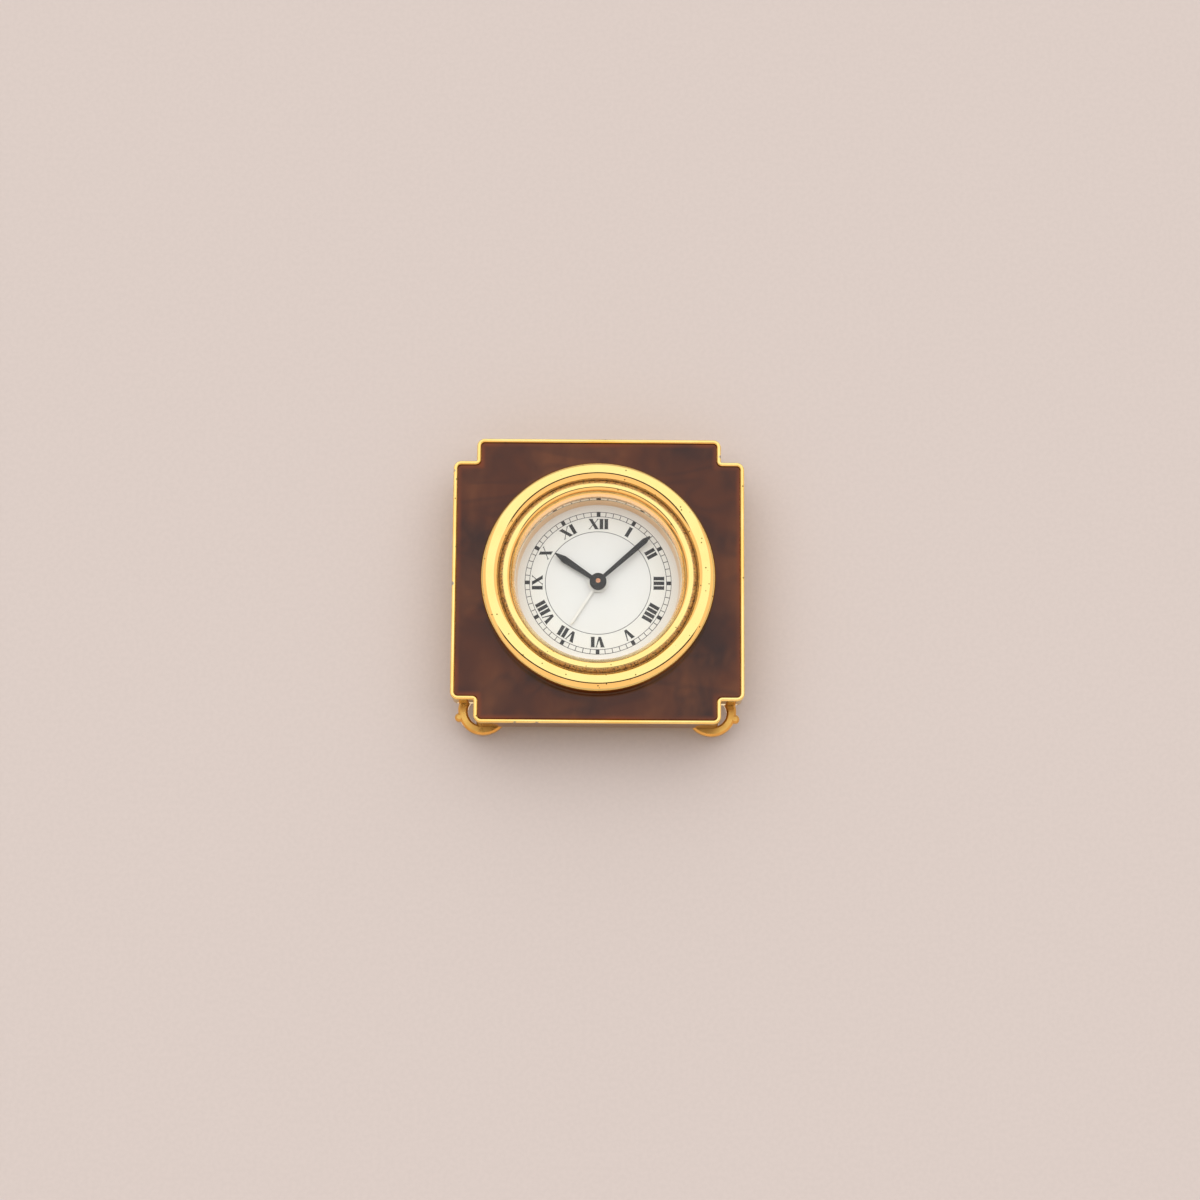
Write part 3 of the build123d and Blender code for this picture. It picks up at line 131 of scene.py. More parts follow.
class Graph:
    """A shader tree under construction, with short calls for the nodes that finishes share."""

    def __init__(self, tree: bpy.types.NodeTree) -> None:
        """Starts an empty tree.

        Args:
            tree: The material's or world's node tree.
        """
        self.tree = tree
        tree.nodes.clear()

    def feed(self, socket: Socket, value: object) -> None:
        """Links an output to an input, or sets the input to a constant.

        Args:
            socket: The input.
            value: An output socket, a number or a colour.
        """
        if isinstance(value, Socket):
            self.tree.links.new(value, socket)
        elif isinstance(value, tuple) and socket.type == "RGBA":
            socket.default_value = (*value, 1.0)
        else:
            socket.default_value = value

    def add(self, kind: str, inputs: dict[str | int, object] | None = None,
            **settings: object) -> bpy.types.Node:
        """Adds a node.

        Args:
            kind: Blender's name of the node type.
            inputs: What to feed to its inputs.
            **settings: Properties of the node to set.

        Returns:
            The new node.
        """
        node = self.tree.nodes.new(kind)
        for key, value in settings.items():
            setattr(node, key, value)
        for key, value in (inputs or {}).items():
            self.feed(node.inputs[key], value)
        return node

    def place(self) -> Socket:
        """Object coordinates."""
        return self.add("ShaderNodeTexCoord").outputs["Object"]

    def math(self, operation: str, first: object, second: object = 0.0) -> Socket:
        """One step of arithmetic.

        Args:
            operation: Blender's name of the operation.
            first: Socket or number.
            second: Socket or number.

        Returns:
            The result.
        """
        return self.add("ShaderNodeMath", {0: first, 1: second}, operation=operation).outputs[0]

    def times(self, first: object, second: object) -> Socket:
        """A product."""
        return self.math("MULTIPLY", first, second)

    def apart(self, first: object, second: object) -> Socket:
        """How far two numbers are apart."""
        return self.math("ABSOLUTE", self.math("SUBTRACT", first, second))

    def split(self, vector: Socket) -> list[Socket]:
        """The x, y and z of a vector."""
        return list(self.add("ShaderNodeSeparateXYZ", {0: vector}).outputs)

    def stretched(self, vector: Socket, scale: Triple, turn: float = 0.0) -> Socket:
        """A vector scaled along each axis and turned about Z.

        Args:
            vector: The coordinates.
            scale: Factor along x, y and z.
            turn: Turn about Z in degrees.

        Returns:
            The mapped coordinates.
        """
        spin = (0.0, 0.0, math.radians(turn))
        return self.add("ShaderNodeMapping", {"Vector": vector, "Scale": scale, "Rotation": spin}).outputs[0]

    def noise(self, vector: Socket, scale: float, detail: float = 2.0, warp: float = 0.0) -> Socket:
        """Soft noise between about 0.2 and 0.8.

        Args:
            vector: The coordinates.
            scale: Cells per metre.
            detail: Octaves.
            warp: How far the noise is dragged by itself.

        Returns:
            The noise value.
        """
        inputs = {"Vector": vector, "Scale": scale, "Detail": detail, "Distortion": warp}
        return self.add("ShaderNodeTexNoise", inputs).outputs["Fac"]

    def span(self, value: object, low: float, high: float, start: float = 0.0, end: float = 1.0) -> Socket:
        """Maps a range to another with a smooth step, held at its ends.

        Args:
            value: Socket to map.
            low: Value that gives start.
            high: Value that gives end.
            start: Result at low.
            end: Result at high.

        Returns:
            The mapped value.
        """
        inputs = dict(enumerate((value, low, high, start, end)))
        return self.add("ShaderNodeMapRange", inputs, interpolation_type="SMOOTHSTEP").outputs[0]

    def mix(self, factor: object, first: object, second: object) -> Socket:
        """A blend of two colours.

        Args:
            factor: Share of the second colour.
            first: Colour or socket.
            second: Colour or socket.

        Returns:
            The blended colour.
        """
        return self.add("ShaderNodeMix", {0: factor, 6: first, 7: second}, data_type="RGBA").outputs[2]

    def blend(self, factor: Socket, first: bpy.types.Node, second: bpy.types.Node) -> Socket:
        """A blend of two shader nodes by the share of the second."""
        inputs = {0: factor, 1: first.outputs[0], 2: second.outputs[0]}
        return self.add("ShaderNodeMixShader", inputs).outputs[0]

    def specks(self, vector: Socket, scale: float, size: float, share: float) -> Socket:
        """Scattered round specks.

        Args:
            vector: The coordinates.
            scale: Cells per metre.
            size: Radius of a speck in cells.
            share: Share of the cells that have one.

        Returns:
            1 inside a speck and 0 elsewhere.
        """
        node = self.add("ShaderNodeTexVoronoi", {"Vector": vector, "Scale": scale})
        chosen = self.math("LESS_THAN", self.split(node.outputs["Color"])[0], share)
        return self.times(self.span(node.outputs["Distance"], size, size * SPECK_CORE), chosen)

    def radius(self, vector: Socket) -> Socket:
        """Distance from the clock's axis."""
        x, y, _ = self.split(vector)
        return self.math("SQRT", self.math("ADD", self.times(x, x), self.times(y, y)))

    def ring(self, vector: Socket, radius: float, reach: float, core: float) -> Socket:
        """A soft ring about the clock's axis.

        Args:
            vector: The coordinates.
            radius: Radius of the ring.
            reach: How far from that radius it ends.
            core: Share of the reach that it fills wholly.

        Returns:
            1 on the ring and 0 past its reach.
        """
        return self.span(self.apart(self.radius(vector), radius * MM), reach * MM, reach * core * MM)

    def bump(self, height: Socket, strength: float, depth: float) -> Socket:
        """A normal tilted by a height.

        Args:
            height: The height, 0 to 1.
            strength: Share of the bump that shows.
            depth: Height of a full step in metres.

        Returns:
            The tilted normal.
        """
        inputs = {"Height": height, "Strength": strength, "Distance": depth}
        return self.add("ShaderNodeBump", inputs).outputs[0]


@dataclass(frozen=True)
class Finish:
    """A solid finish: mottled colour, uneven gloss, fine relief and scattered specks."""

    name: str
    base: Colour
    shade: Colour
    metallic: float = 0.0
    gloss: Point = (0.3, 0.45)
    patch: float = 150.0
    grain: float = 3000.0
    stretch: Triple = (1.0, 1.0, 1.0)
    depth: float = 0.00001
    relief: float = 0.3
    speck: Colour = (0.03, 0.025, 0.02)
    speck_share: float = 0.0
    speck_size: float = 0.16
    speck_scale: float = 900.0
    coat: float = 0.0
    coat_roughness: float = 0.05
    ior: float = 1.5

    def mottled(self, graph: Graph, place: Socket) -> Socket:
        """The two colours in soft patches."""
        return graph.mix(graph.span(graph.noise(place, self.patch, 4.0), *MOTTLE), self.base, self.shade)

    def paint(self, graph: Graph, place: Socket) -> Socket:
        """Colour of the surface.

        Args:
            graph: Tree to build in.
            place: Object coordinates.

        Returns:
            The colour.
        """
        colour = self.mottled(graph, place)
        if self.speck_share > 0.0:
            specks = graph.specks(place, self.speck_scale, self.speck_size, self.speck_share)
            colour = graph.mix(specks, colour, self.speck)
        return colour

    def shine(self, graph: Graph, place: Socket) -> Socket:
        """Roughness of the surface.

        Args:
            graph: Tree to build in.
            place: Object coordinates.

        Returns:
            The roughness.
        """
        return graph.span(graph.noise(place, self.patch * 3.0, 3.0), *SMUDGE, *self.gloss)

    def normal(self, graph: Graph, place: Socket) -> Socket:
        """Fine relief of the surface.

        Args:
            graph: Tree to build in.
            place: Object coordinates.

        Returns:
            The tilted normal.
        """
        grain = graph.noise(graph.stretched(place, self.stretch), self.grain, 2.0)
        return graph.bump(grain, self.relief, self.depth)

    def metal(self, graph: Graph, place: Socket) -> Socket | float:
        """Share of bare metal, the same all over."""
        return self.metallic

    def shader(self, graph: Graph) -> Socket:
        """The surface shader.

        Args:
            graph: Tree to build in.

        Returns:
            The shader output.
        """
        place = graph.place()
        inputs = {"Metallic": self.metal(graph, place), "IOR": self.ior, "Coat Weight": self.coat,
                  "Coat Roughness": self.coat_roughness, "Base Color": self.paint(graph, place),
                  "Roughness": self.shine(graph, place), "Normal": self.normal(graph, place)}
        return graph.add("ShaderNodeBsdfPrincipled", inputs).outputs[0]

    def material(self) -> bpy.types.Material:
        """The finish as a material, made once."""
        known = bpy.data.materials.get(self.name)
        if known is not None:
            return known
        made = bpy.data.materials.new(self.name)
        made.use_nodes = True
        graph = Graph(made.node_tree)
        graph.add("ShaderNodeOutputMaterial", {"Surface": self.shader(graph)})
        return made


@dataclass(frozen=True)
class BezelGilt(Finish):
    """Polished gilding with pits, dirt in the groove, a painted reflection band inside the mouldings and a
    painted highlight down the lip.
    """

    soiled: float = 24.95
    soil_reach: float = 0.85
    soil_core: float = 0.5
    blotch_scale: float = 900.0
    crumb_scale: float = 2400.0
    dirt: Colour = (0.46, 0.215, 0.055)
    grime: Colour = (0.09, 0.045, 0.014)
    dirt_roughness: float = 0.4
    dirt_cover: float = 0.85
    # Painted reflection: a darker orange band on the inner moulding, standing in for the room that the
    # polished metal mirrors.
    reflection_band_radius: float = 22.55
    reflection_band_reach: float = 0.35
    reflection_band_core: float = 0.3
    line: Colour = (0.72, 0.43, 0.13)
    # Painted highlight: the lip's paler colour stands in for the bright room and dial that it mirrors; its
    # added roughness is the lip's satin finish.
    lip_from: float = 22.35
    lip_radius: float = 21.7
    lip: Colour = (0.97, 0.82, 0.54)
    lip_roughness: float = 0.2

    def lipped(self, graph: Graph, place: Socket) -> Socket:
        """How far a place is down the lip, from 0 at the mouldings to 1 near the crystal."""
        return graph.span(graph.radius(place), self.lip_from * MM, self.lip_radius * MM)

    def soil(self, graph: Graph, place: Socket) -> Socket:
        """1 in the groove's blotched dirt and 0 on clean metal."""
        blotch = graph.span(graph.noise(place, self.blotch_scale, 3.0), 0.2, 0.55, 0.7, 1.0)
        return graph.times(graph.ring(place, self.soiled, self.soil_reach, self.soil_core), blotch)

    def paint(self, graph: Graph, place: Socket) -> Socket:
        """Colour of the gilding, with its pits, the painted reflection band, the painted highlight down the
        lip and the speckled dirt.
        """
        # Painted reflection band, then the painted highlight down the lip.
        line = graph.ring(place, self.reflection_band_radius, self.reflection_band_reach, self.reflection_band_core)
        gilding = graph.mix(line, super().paint(graph, place), self.line)
        gilding = graph.mix(self.lipped(graph, place), gilding, self.lip)
        crumbs = graph.span(graph.noise(place, self.crumb_scale, 2.0), 0.48, 0.62)
        return graph.mix(self.soil(graph, place), gilding, graph.mix(crumbs, self.dirt, self.grime))

    def shine(self, graph: Graph, place: Socket) -> Socket:
        """Roughness, higher in the dirt and down the lip."""
        dirty = graph.times(self.soil(graph, place), self.dirt_roughness)
        satin = graph.times(self.lipped(graph, place), self.lip_roughness)
        return graph.math("ADD", super().shine(graph, place), graph.math("ADD", dirty, satin))

    def metal(self, graph: Graph, place: Socket) -> Socket:
        """Bare metal, but for the dirt."""
        return graph.math("SUBTRACT", self.metallic, graph.times(self.soil(graph, place), self.dirt_cover))


@dataclass(frozen=True)
class FrameGilt(Finish):
    """Gilding with a bright, nicked bead above brushed sides, with painted shade darkening the sides towards
    -Y.
    """

    side: Colour = (0.82, 0.57, 0.205)
    streak: Colour = (0.75, 0.505, 0.17)
    streak_scale: float = 7000.0
    streak_shape: Triple = (0.005, 0.005, 1.0)
    side_roughness: float = 0.1
    side_below: float = 13.3
    bead_above: float = 13.82
    # Painted shade: a darker tone on the sides towards -Y, standing in for the shaded floor that they mirror.
    painted_shade: Colour = (0.43, 0.245, 0.10)
    painted_shade_from: float = -32.5
    painted_shade_below: float = -37.3
    bare: Colour = (0.40, 0.37, 0.31)
    nick_scale: float = 230.0
    nick_size: float = 0.16
    nick_share: float = 0.8

    def sided(self, graph: Graph, place: Socket) -> Socket:
        """0 on the bead and 1 down the sides."""
        return graph.span(graph.split(place)[2], self.bead_above * MM, self.side_below * MM)

    def paint(self, graph: Graph, place: Socket) -> Socket:
        """Bright gilding with bare nicks, over brushed sides darkened by painted shade towards -Y."""
        nicks = graph.specks(place, self.nick_scale, self.nick_size, self.nick_share)
        bright = graph.mix(nicks, super().paint(graph, place), self.bare)
        brushing = graph.noise(graph.stretched(place, self.streak_shape), self.streak_scale, 3.0)
        sides = graph.mix(graph.span(brushing, 0.35, 0.65), self.side, self.streak)
        # Painted shade: the sides darken towards -Y.
        shade_mix = graph.span(graph.split(place)[1], self.painted_shade_from * MM, self.painted_shade_below * MM)
        return graph.mix(self.sided(graph, place), bright, graph.mix(shade_mix, sides, self.painted_shade))

    def shine(self, graph: Graph, place: Socket) -> Socket:
        """Roughness, higher down the sides."""
        rougher = graph.times(self.sided(graph, place), self.side_roughness)
        return graph.math("ADD", super().shine(graph, place), rougher)


@dataclass(frozen=True)
class RehautGilt(Finish):
    """Warm gilding with a paler band along its upper edge, a painted reflection of the white dial."""

    # Painted reflection: the pale band near the top stands in for the white dial that the polished ring
    # mirrors.
    pale: Colour = (0.97, 0.86, 0.68)
    dial_reflection_from: float = 13.7
    dial_reflection_above: float = 14.1

    def paint(self, graph: Graph, place: Socket) -> Socket:
        """Warm gilding under the paler band of painted reflection."""
        band = graph.span(graph.split(place)[2], self.dial_reflection_from * MM, self.dial_reflection_above * MM)
        return graph.mix(band, super().paint(graph, place), self.pale)


@dataclass(frozen=True)
class TurnedGilt(Finish):
    """Satin gilding with the fine rings of a lathe about the clock's axis."""

    def normal(self, graph: Graph, place: Socket) -> Socket:
        """Fine rings about the axis."""
        spot = graph.add("ShaderNodeCombineXYZ", {"X": graph.radius(place), "Z": graph.split(place)[2]})
        return graph.bump(graph.noise(spot.outputs[0], self.grain, 3.0), self.relief, self.depth)


@dataclass(frozen=True)
class Lacquer(Finish):
    """Dark brown lacquer under gloss, with smoky clouds, burl swirls and a painted amber glow of reflected
    light along its rim.
    """

    cloud: Colour = (0.020, 0.0055, 0.0045)
    # Painted reflected light: amber along the panel's rim, standing in for the gilt rim mirrored and bounced
    # in the lacquer.
    painted_rim_light: Colour = (0.14, 0.026, 0.003)
    half_width: float = 36.4
    corner_step: float = 6.0
    glow_reach: float = 1.5
    glow_scale: float = 90.0
    drift: Triple = (0.2, -0.07, -0.069)
    cloud_scale: float = 60.0
    warmth_scale: float = 58.0
    swirl_scale: float = 60.0

    def rim_distance(self, graph: Graph, place: Socket) -> Socket:
        """How far a place is from the panel's stepped outline.

        Args:
            graph: Tree to build in.
            place: Object coordinates.

        Returns:
            The distance in metres.
        """
        x, y, _ = graph.split(place)
        across, along = graph.math("ABSOLUTE", x), graph.math("ABSOLUTE", y)
        side = graph.math("SUBTRACT", self.half_width * MM, graph.math("MAXIMUM", across, along))
        corner = (self.half_width - self.corner_step) * MM
        legs = []
        for part in (across, along):
            room = graph.math("MAXIMUM", graph.math("SUBTRACT", corner, part), 0.0)
            legs.append(graph.times(room, room))
        return graph.math("MINIMUM", side, graph.math("SQRT", graph.math("ADD", *legs)))

    def paint(self, graph: Graph, place: Socket) -> Socket:
        """Clouds of brown, red-brown and near black, with the painted amber glow along the rim."""
        burl = graph.add("ShaderNodeVectorMath", {0: place, 1: self.drift}, operation="ADD").outputs[0]
        turned = graph.stretched(burl, (1.0, 0.8, 1.0), 28.0)
        clouds = graph.span(graph.noise(turned, self.cloud_scale, 3.0, 0.3), 0.46, 0.7, 0.0, 0.9)
        colour = graph.mix(clouds, self.base, self.cloud)
        crossed = graph.stretched(burl, (1.4, 0.8, 1.0), -35.0)
        warmth = graph.span(graph.noise(crossed, self.warmth_scale, 3.0, 0.4), 0.42, 0.74)
        colour = graph.mix(warmth, colour, self.shade)
        swirl = graph.noise(graph.stretched(burl, (1.0, 1.6, 1.0), 18.0), self.swirl_scale, 0.0, 1.2)
        colour = graph.mix(graph.span(graph.apart(swirl, 0.5), 0.16, 0.0, 0.0, 0.3), colour, self.cloud)
        # Painted reflected light along the rim, broken up by noise.
        glow = graph.span(self.rim_distance(graph, place), self.glow_reach * MM, 0.0)
        broken = graph.span(graph.noise(place, self.glow_scale, 2.0), 0.35, 0.65, 0.35, 1.0)
        return graph.mix(graph.times(glow, broken), colour, self.painted_rim_light)


@dataclass(frozen=True)
class DialPaint(Finish):
    """Fine-grained white dial with a slightly creamier chapter ring."""

    ring: Colour = (0.75, 0.75, 0.715)
    ring_radius: float = 13.57
    ring_blur: float = 0.05

    def paint(self, graph: Graph, place: Socket) -> Socket:
        """White, creamier beyond the inner circle."""
        inner, outer = self.ring_radius - self.ring_blur, self.ring_radius + self.ring_blur
        chapter = graph.span(graph.radius(place), inner * MM, outer * MM)
        return graph.mix(chapter, self.mottled(graph, place), self.ring)


@dataclass(frozen=True)
class ClearGlass(Finish):
    """Flat crystal that shows what is under it, with a faint gloss."""

    def shader(self, graph: Graph) -> Socket:
        """Clear, mirroring a little more at a slant, on its outer face alone."""
        clear = graph.add("ShaderNodeBsdfTransparent", {"Color": self.base})
        gloss = graph.add("ShaderNodeBsdfGlossy", {"Roughness": self.shine(graph, graph.place())})
        fresnel = graph.add("ShaderNodeFresnel", {"IOR": self.ior}).outputs[0]
        front = graph.math("SUBTRACT", 1.0, graph.add("ShaderNodeNewGeometry").outputs["Backfacing"])
        return graph.blend(graph.times(fresnel, front), clear, gloss)


@dataclass(frozen=True)
class FloorPaint(Finish):
    """Plain cloth, clear from below, that lets light through close under the clock."""

    clear_reach: float = 9.0
    clear_half_width: float = 36.5

    def shader(self, graph: Graph) -> Socket:
        """Cloth from above, and clear from below and for bounced light close under the clock."""
        place = graph.place()
        tone = graph.span(graph.noise(place, self.patch, 3.0), *SMUDGE)
        cloth = graph.add("ShaderNodeBsdfDiffuse", {"Color": graph.mix(tone, self.base, self.shade)})
        clear = graph.add("ShaderNodeBsdfTransparent")
        below = graph.add("ShaderNodeNewGeometry").outputs["Backfacing"]
        path = graph.add("ShaderNodeLightPath").outputs
        close = graph.math("LESS_THAN", path["Ray Length"], self.clear_reach * MM)
        bounced = graph.times(close, graph.math("SUBTRACT", 1.0, path["Is Camera Ray"]))
        x, y, _ = graph.split(place)
        reach = graph.math("MAXIMUM", graph.math("ABSOLUTE", x), graph.math("ABSOLUTE", y))
        under = graph.math("LESS_THAN", reach, self.clear_half_width * MM)
        passed = graph.times(under, graph.math("MAXIMUM", bounced, path["Is Shadow Ray"]))
        return graph.blend(graph.math("MAXIMUM", below, passed), cloth, clear)


GILT = (0.95, 0.74, 0.29)
DEEP_GILT = (0.92, 0.66, 0.21)
PIT = (0.20, 0.13, 0.03)

FINISHES: dict[Slot, Finish] = {
    Slot.FRAME: FrameGilt("frame_gilt", GILT, DEEP_GILT, 1.0, (0.07, 0.15), 90.0, 6000.0, (0.02, 0.02, 1.0),
                          speck=PIT, speck_share=0.25, speck_scale=650.0, relief=0.25),
    Slot.BEZEL: BezelGilt("bezel_gilt", GILT, (0.94, 0.71, 0.26), 1.0, (0.035, 0.08), 110.0, 1800.0,
                          speck=PIT, speck_share=0.55, speck_size=0.15, speck_scale=620.0, relief=0.12),
    # Painted shade: the stand's gilding is darker and more orange than the frame's, standing in for the shade
    # near the floor.
    Slot.STAND: Finish("painted_shade_stand_gilt", (0.72, 0.44, 0.12), (0.60, 0.33, 0.08), 1.0, (0.24, 0.4), 140.0, 1400.0,
                       speck=PIT, speck_share=0.15, speck_scale=700.0, relief=0.35),
    Slot.BACK: TurnedGilt("back_gilt", (0.92, 0.70, 0.27), (0.90, 0.66, 0.24), 1.0, (0.2, 0.3), 400.0, 2600.0,
                          speck=PIT, speck_share=0.1, relief=0.5),
    Slot.LACQUER: Lacquer("burl_lacquer", (0.066, 0.015, 0.004), (0.112, 0.032, 0.009), 0.0, (0.05, 0.09),
                          grain=260.0, relief=0.05, ior=1.39),
    Slot.CRYSTAL: ClearGlass("clear_crystal", (0.99, 0.99, 0.985), (0.99, 0.99, 0.985), gloss=(0.0, 0.02),
                             ior=1.38),
    Slot.SEAL: Finish("seal_rubber", (0.03, 0.03, 0.03), (0.05, 0.048, 0.045), 0.0, (0.55, 0.75), relief=0.5),
    Slot.DIAL: DialPaint("dial_enamel", (0.735, 0.737, 0.725), (0.72, 0.722, 0.705), 0.0, (0.35, 0.5),
                         grain=9000.0, relief=0.25),
    Slot.HAND: Finish("hand_blacking", (0.012, 0.012, 0.013), (0.02, 0.02, 0.021), 0.0, (0.4, 0.55),
                      grain=7000.0, relief=0.3),
    Slot.PALE_HAND: Finish("hand_pale_lacquer", (0.80, 0.79, 0.76), (0.76, 0.74, 0.69), 0.0, (0.3, 0.45),
                           grain=7000.0),
    Slot.ARBOR: Finish("arbor_copper", (0.62, 0.32, 0.20), (0.52, 0.24, 0.14), 1.0, (0.25, 0.4), 500.0),
    Slot.BRASS: Finish("plate_brass_finish", (0.80, 0.60, 0.26), (0.72, 0.50, 0.19), 1.0, (0.2, 0.35),
                       stretch=(0.1, 1.0, 1.0)),
    Slot.STEEL: Finish("bright_steel", (0.62, 0.62, 0.63), (0.52, 0.52, 0.54), 1.0, (0.18, 0.32)),
    Slot.IRON: Finish("soft_iron_finish", (0.42, 0.42, 0.43), (0.33, 0.33, 0.35), 1.0, (0.35, 0.5)),
    Slot.WIRE: Finish("wound_copper", (0.72, 0.30, 0.12), (0.58, 0.21, 0.07), 1.0, (0.25, 0.4),
                      grain=9000.0, stretch=(1.0, 0.03, 0.03), relief=0.8, coat=0.4),
    Slot.HOLDER: Finish("holder_moulding", (0.62, 0.60, 0.55), (0.56, 0.54, 0.49), 0.0, (0.4, 0.55)),
    Slot.WHEEL: Finish("wheel_moulding", (0.74, 0.72, 0.66), (0.68, 0.66, 0.59), 0.0, (0.3, 0.45)),
    Slot.SLIDE: Finish("slide_moulding", (0.022, 0.022, 0.024), (0.034, 0.034, 0.036), 0.0, (0.32, 0.5)),
    Slot.BOARD: Finish("board_laminate", (0.02, 0.13, 0.05), (0.014, 0.09, 0.04), 0.0, (0.25, 0.4),
                       grain=5000.0, coat=0.3),
    Slot.CHIP: Finish("chip_resin", (0.015, 0.015, 0.016), (0.024, 0.024, 0.025), 0.0, (0.45, 0.6)),
    Slot.CAN: Finish("nickel_can", (0.70, 0.69, 0.66), (0.62, 0.61, 0.58), 1.0, (0.12, 0.25)),
    Slot.MAGNET: Finish("sintered_magnet", (0.10, 0.10, 0.11), (0.16, 0.16, 0.17), 0.6, (0.45, 0.6), 900.0),
}
INK = Finish("dial_ink", (0.018, 0.018, 0.02), (0.032, 0.032, 0.034), 0.0, (0.45, 0.6), grain=9000.0)
FINE_INK = Finish("dial_fine_ink", (0.03, 0.03, 0.032), (0.06, 0.06, 0.06), 0.0, (0.45, 0.6), grain=9000.0)
REHAUT_GILT = RehautGilt("rehaut_gilt", (0.91, 0.66, 0.41), (0.87, 0.60, 0.35), 1.0, (0.05, 0.1), 160.0,
                         1500.0, speck=(0.3, 0.2, 0.1), speck_share=0.08, speck_scale=600.0, relief=0.12)
CONTROL_GILT = Finish("control_gilt", (0.86, 0.58, 0.18), (0.80, 0.50, 0.14), 1.0, (0.12, 0.24), 260.0,
                      1600.0, speck=PIT, speck_share=0.1, relief=0.3)
CRYSTAL_EDGE = Finish("gilt_crystal_edge", (0.90, 0.62, 0.34), (0.86, 0.56, 0.28), 1.0, (0.1, 0.2), 200.0)


def arc(centre: Point, radius: float, start: float, end: float, steps: int) -> list[Point]:
    """Points along a round arc, both ends among them.

    Args:
        centre: Middle of the arc.
        radius: Its radius.
        start: Angle of the first point in degrees.
        end: Angle of the last point in degrees.
        steps: Chords along the arc.

    Returns:
        The points.
    """
    turns = [math.radians(start + (end - start) * i / steps) for i in range(steps + 1)]
    return [(centre[0] + radius * math.cos(t), centre[1] + radius * math.sin(t)) for t in turns]


def arc_through(first: Point, middle: Point, last: Point, steps: int) -> list[Point]:
    """Points along the arc through three points.

    Args:
        first: Where it starts.
        middle: A point on its way.
        last: Where it ends.
        steps: Chords along the arc.

    Returns:
        The points, both ends among them.
    """
    (ax, ay), (bx, by), (cx, cy) = first, middle, last
    det = 2 * (ax * (by - cy) + bx * (cy - ay) + cx * (ay - by))
    a, b, c = ax * ax + ay * ay, bx * bx + by * by, cx * cx + cy * cy
    centre = ((a * (by - cy) + b * (cy - ay) + c * (ay - by)) / det,
              (a * (cx - bx) + b * (ax - cx) + c * (bx - ax)) / det)
    turns = [math.degrees(math.atan2(p[1] - centre[1], p[0] - centre[0])) for p in (first, middle, last)]
    sweep = (turns[2] - turns[0]) % 360.0
    if (turns[1] - turns[0]) % 360.0 > sweep:
        sweep -= 360.0
    return arc(centre, math.dist(centre, first), turns[0], turns[0] + sweep, steps)


def rectangle(left: float, right: float, low: float, high: float) -> Polygon:
    """The corners of an upright rectangle."""
    return [(left, low), (right, low), (right, high), (left, high)]


def circle(radius: float, z: float, steps: int, centre: Point = (0.0, 0.0)) -> list[Triple]:
    """Points round a level circle.

    Args:
        radius: Its radius.
        z: Its level.
        steps: Number of points.
        centre: Its middle.

    Returns:
        The points.
    """
    turns = [2 * math.pi * i / steps for i in range(steps)]
    return [(centre[0] + radius * math.cos(t), centre[1] + radius * math.sin(t), z) for t in turns]


def make_piece(name: str, bm: BMesh, finish: Finish) -> Piece:
    """Closes a bmesh into an object with outward faces, smooth up to the crease angle.

    Args:
        name: Name of the piece.
        bm: Its mesh, in millimetres. It is freed.
        finish: Its finish.

    Returns:
        The object, at the origin.
    """
    bmesh.ops.remove_doubles(bm, verts=bm.verts[:], dist=WELD)
    bmesh.ops.recalc_face_normals(bm, faces=bm.faces[:])
    for vert in bm.verts:
        vert.co *= MM
    mesh = bpy.data.meshes.new(name)
    bm.to_mesh(mesh)
    bm.free()
    mesh.shade_smooth()
    mesh.set_sharp_from_angle(angle=math.radians(CREASE))
    mesh.materials.append(finish.material())
    made = bpy.data.objects.new(name, mesh)
    bpy.context.scene.collection.objects.link(made)
    return made


def settle_modifiers(piece: Piece) -> Piece:
    """Turns what a piece's modifiers make into its plain mesh.

    Args:
        piece: The piece.

    Returns:
        The piece, without modifiers.
    """
    evaluated = piece.evaluated_get(bpy.context.evaluated_depsgraph_get())
    mesh = bpy.data.meshes.new_from_object(evaluated)
    piece.modifiers.clear()
    piece.data = mesh
    mesh.name = piece.name
    return piece


def settle(piece: Piece, body: Body, slot: Slot | None, *nodes: str) -> None:
    """Puts a finished piece on its body, and hides the solids that it stands for.

    Args:
        piece: The piece.
        body: The body that it rides on.
        slot: The record's slot of its finish, if it has one. Not used.
        *nodes: Solids that it stands for.
    """
    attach(piece, body.value)
    if nodes:
        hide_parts(*nodes)
    log.info("%s rides on %s with %d faces", piece.name, body.value, len(piece.data.polygons))


def add_piece(name: str, bm: BMesh, body: Body, slot: Slot | None, *nodes: str,
              finish: Finish | None = None) -> None:
    """Makes a piece, in its slot's finish unless it has its own, and puts it on its body.

    Args:
        name: Name of the piece.
        bm: Its mesh, in millimetres. It is freed.
        body: The body that it rides on.
        slot: The record's slot of its finish, if it has one.
        *nodes: Solids that it stands for.
        finish: Its own finish.
    """
    settle(make_piece(name, bm, finish or FINISHES[slot]), body, slot, *nodes)


def add_loops(bm: BMesh, loops: Sequence[Sequence[Triple]], capped: bool = False) -> None:
    """Joins loops of equal length into a closed skin.

    Args:
        bm: Mesh to add to.
        loops: Loops of points.
        capped: Whether a flat face closes each end, instead of the last loop joining the first.
    """
    rows = [[bm.verts.new(p) for p in loop] for loop in loops]
    count = len(rows[0])
    following = rows[1:] if capped else [*rows[1:], rows[0]]
    for low, high in zip(rows, following):
        for i in range(count):
            j = (i + 1) % count
            bm.faces.new((low[i], low[j], high[j], high[i]))
    if capped:
        bm.faces.new(rows[0])
        bm.faces.new(rows[-1])


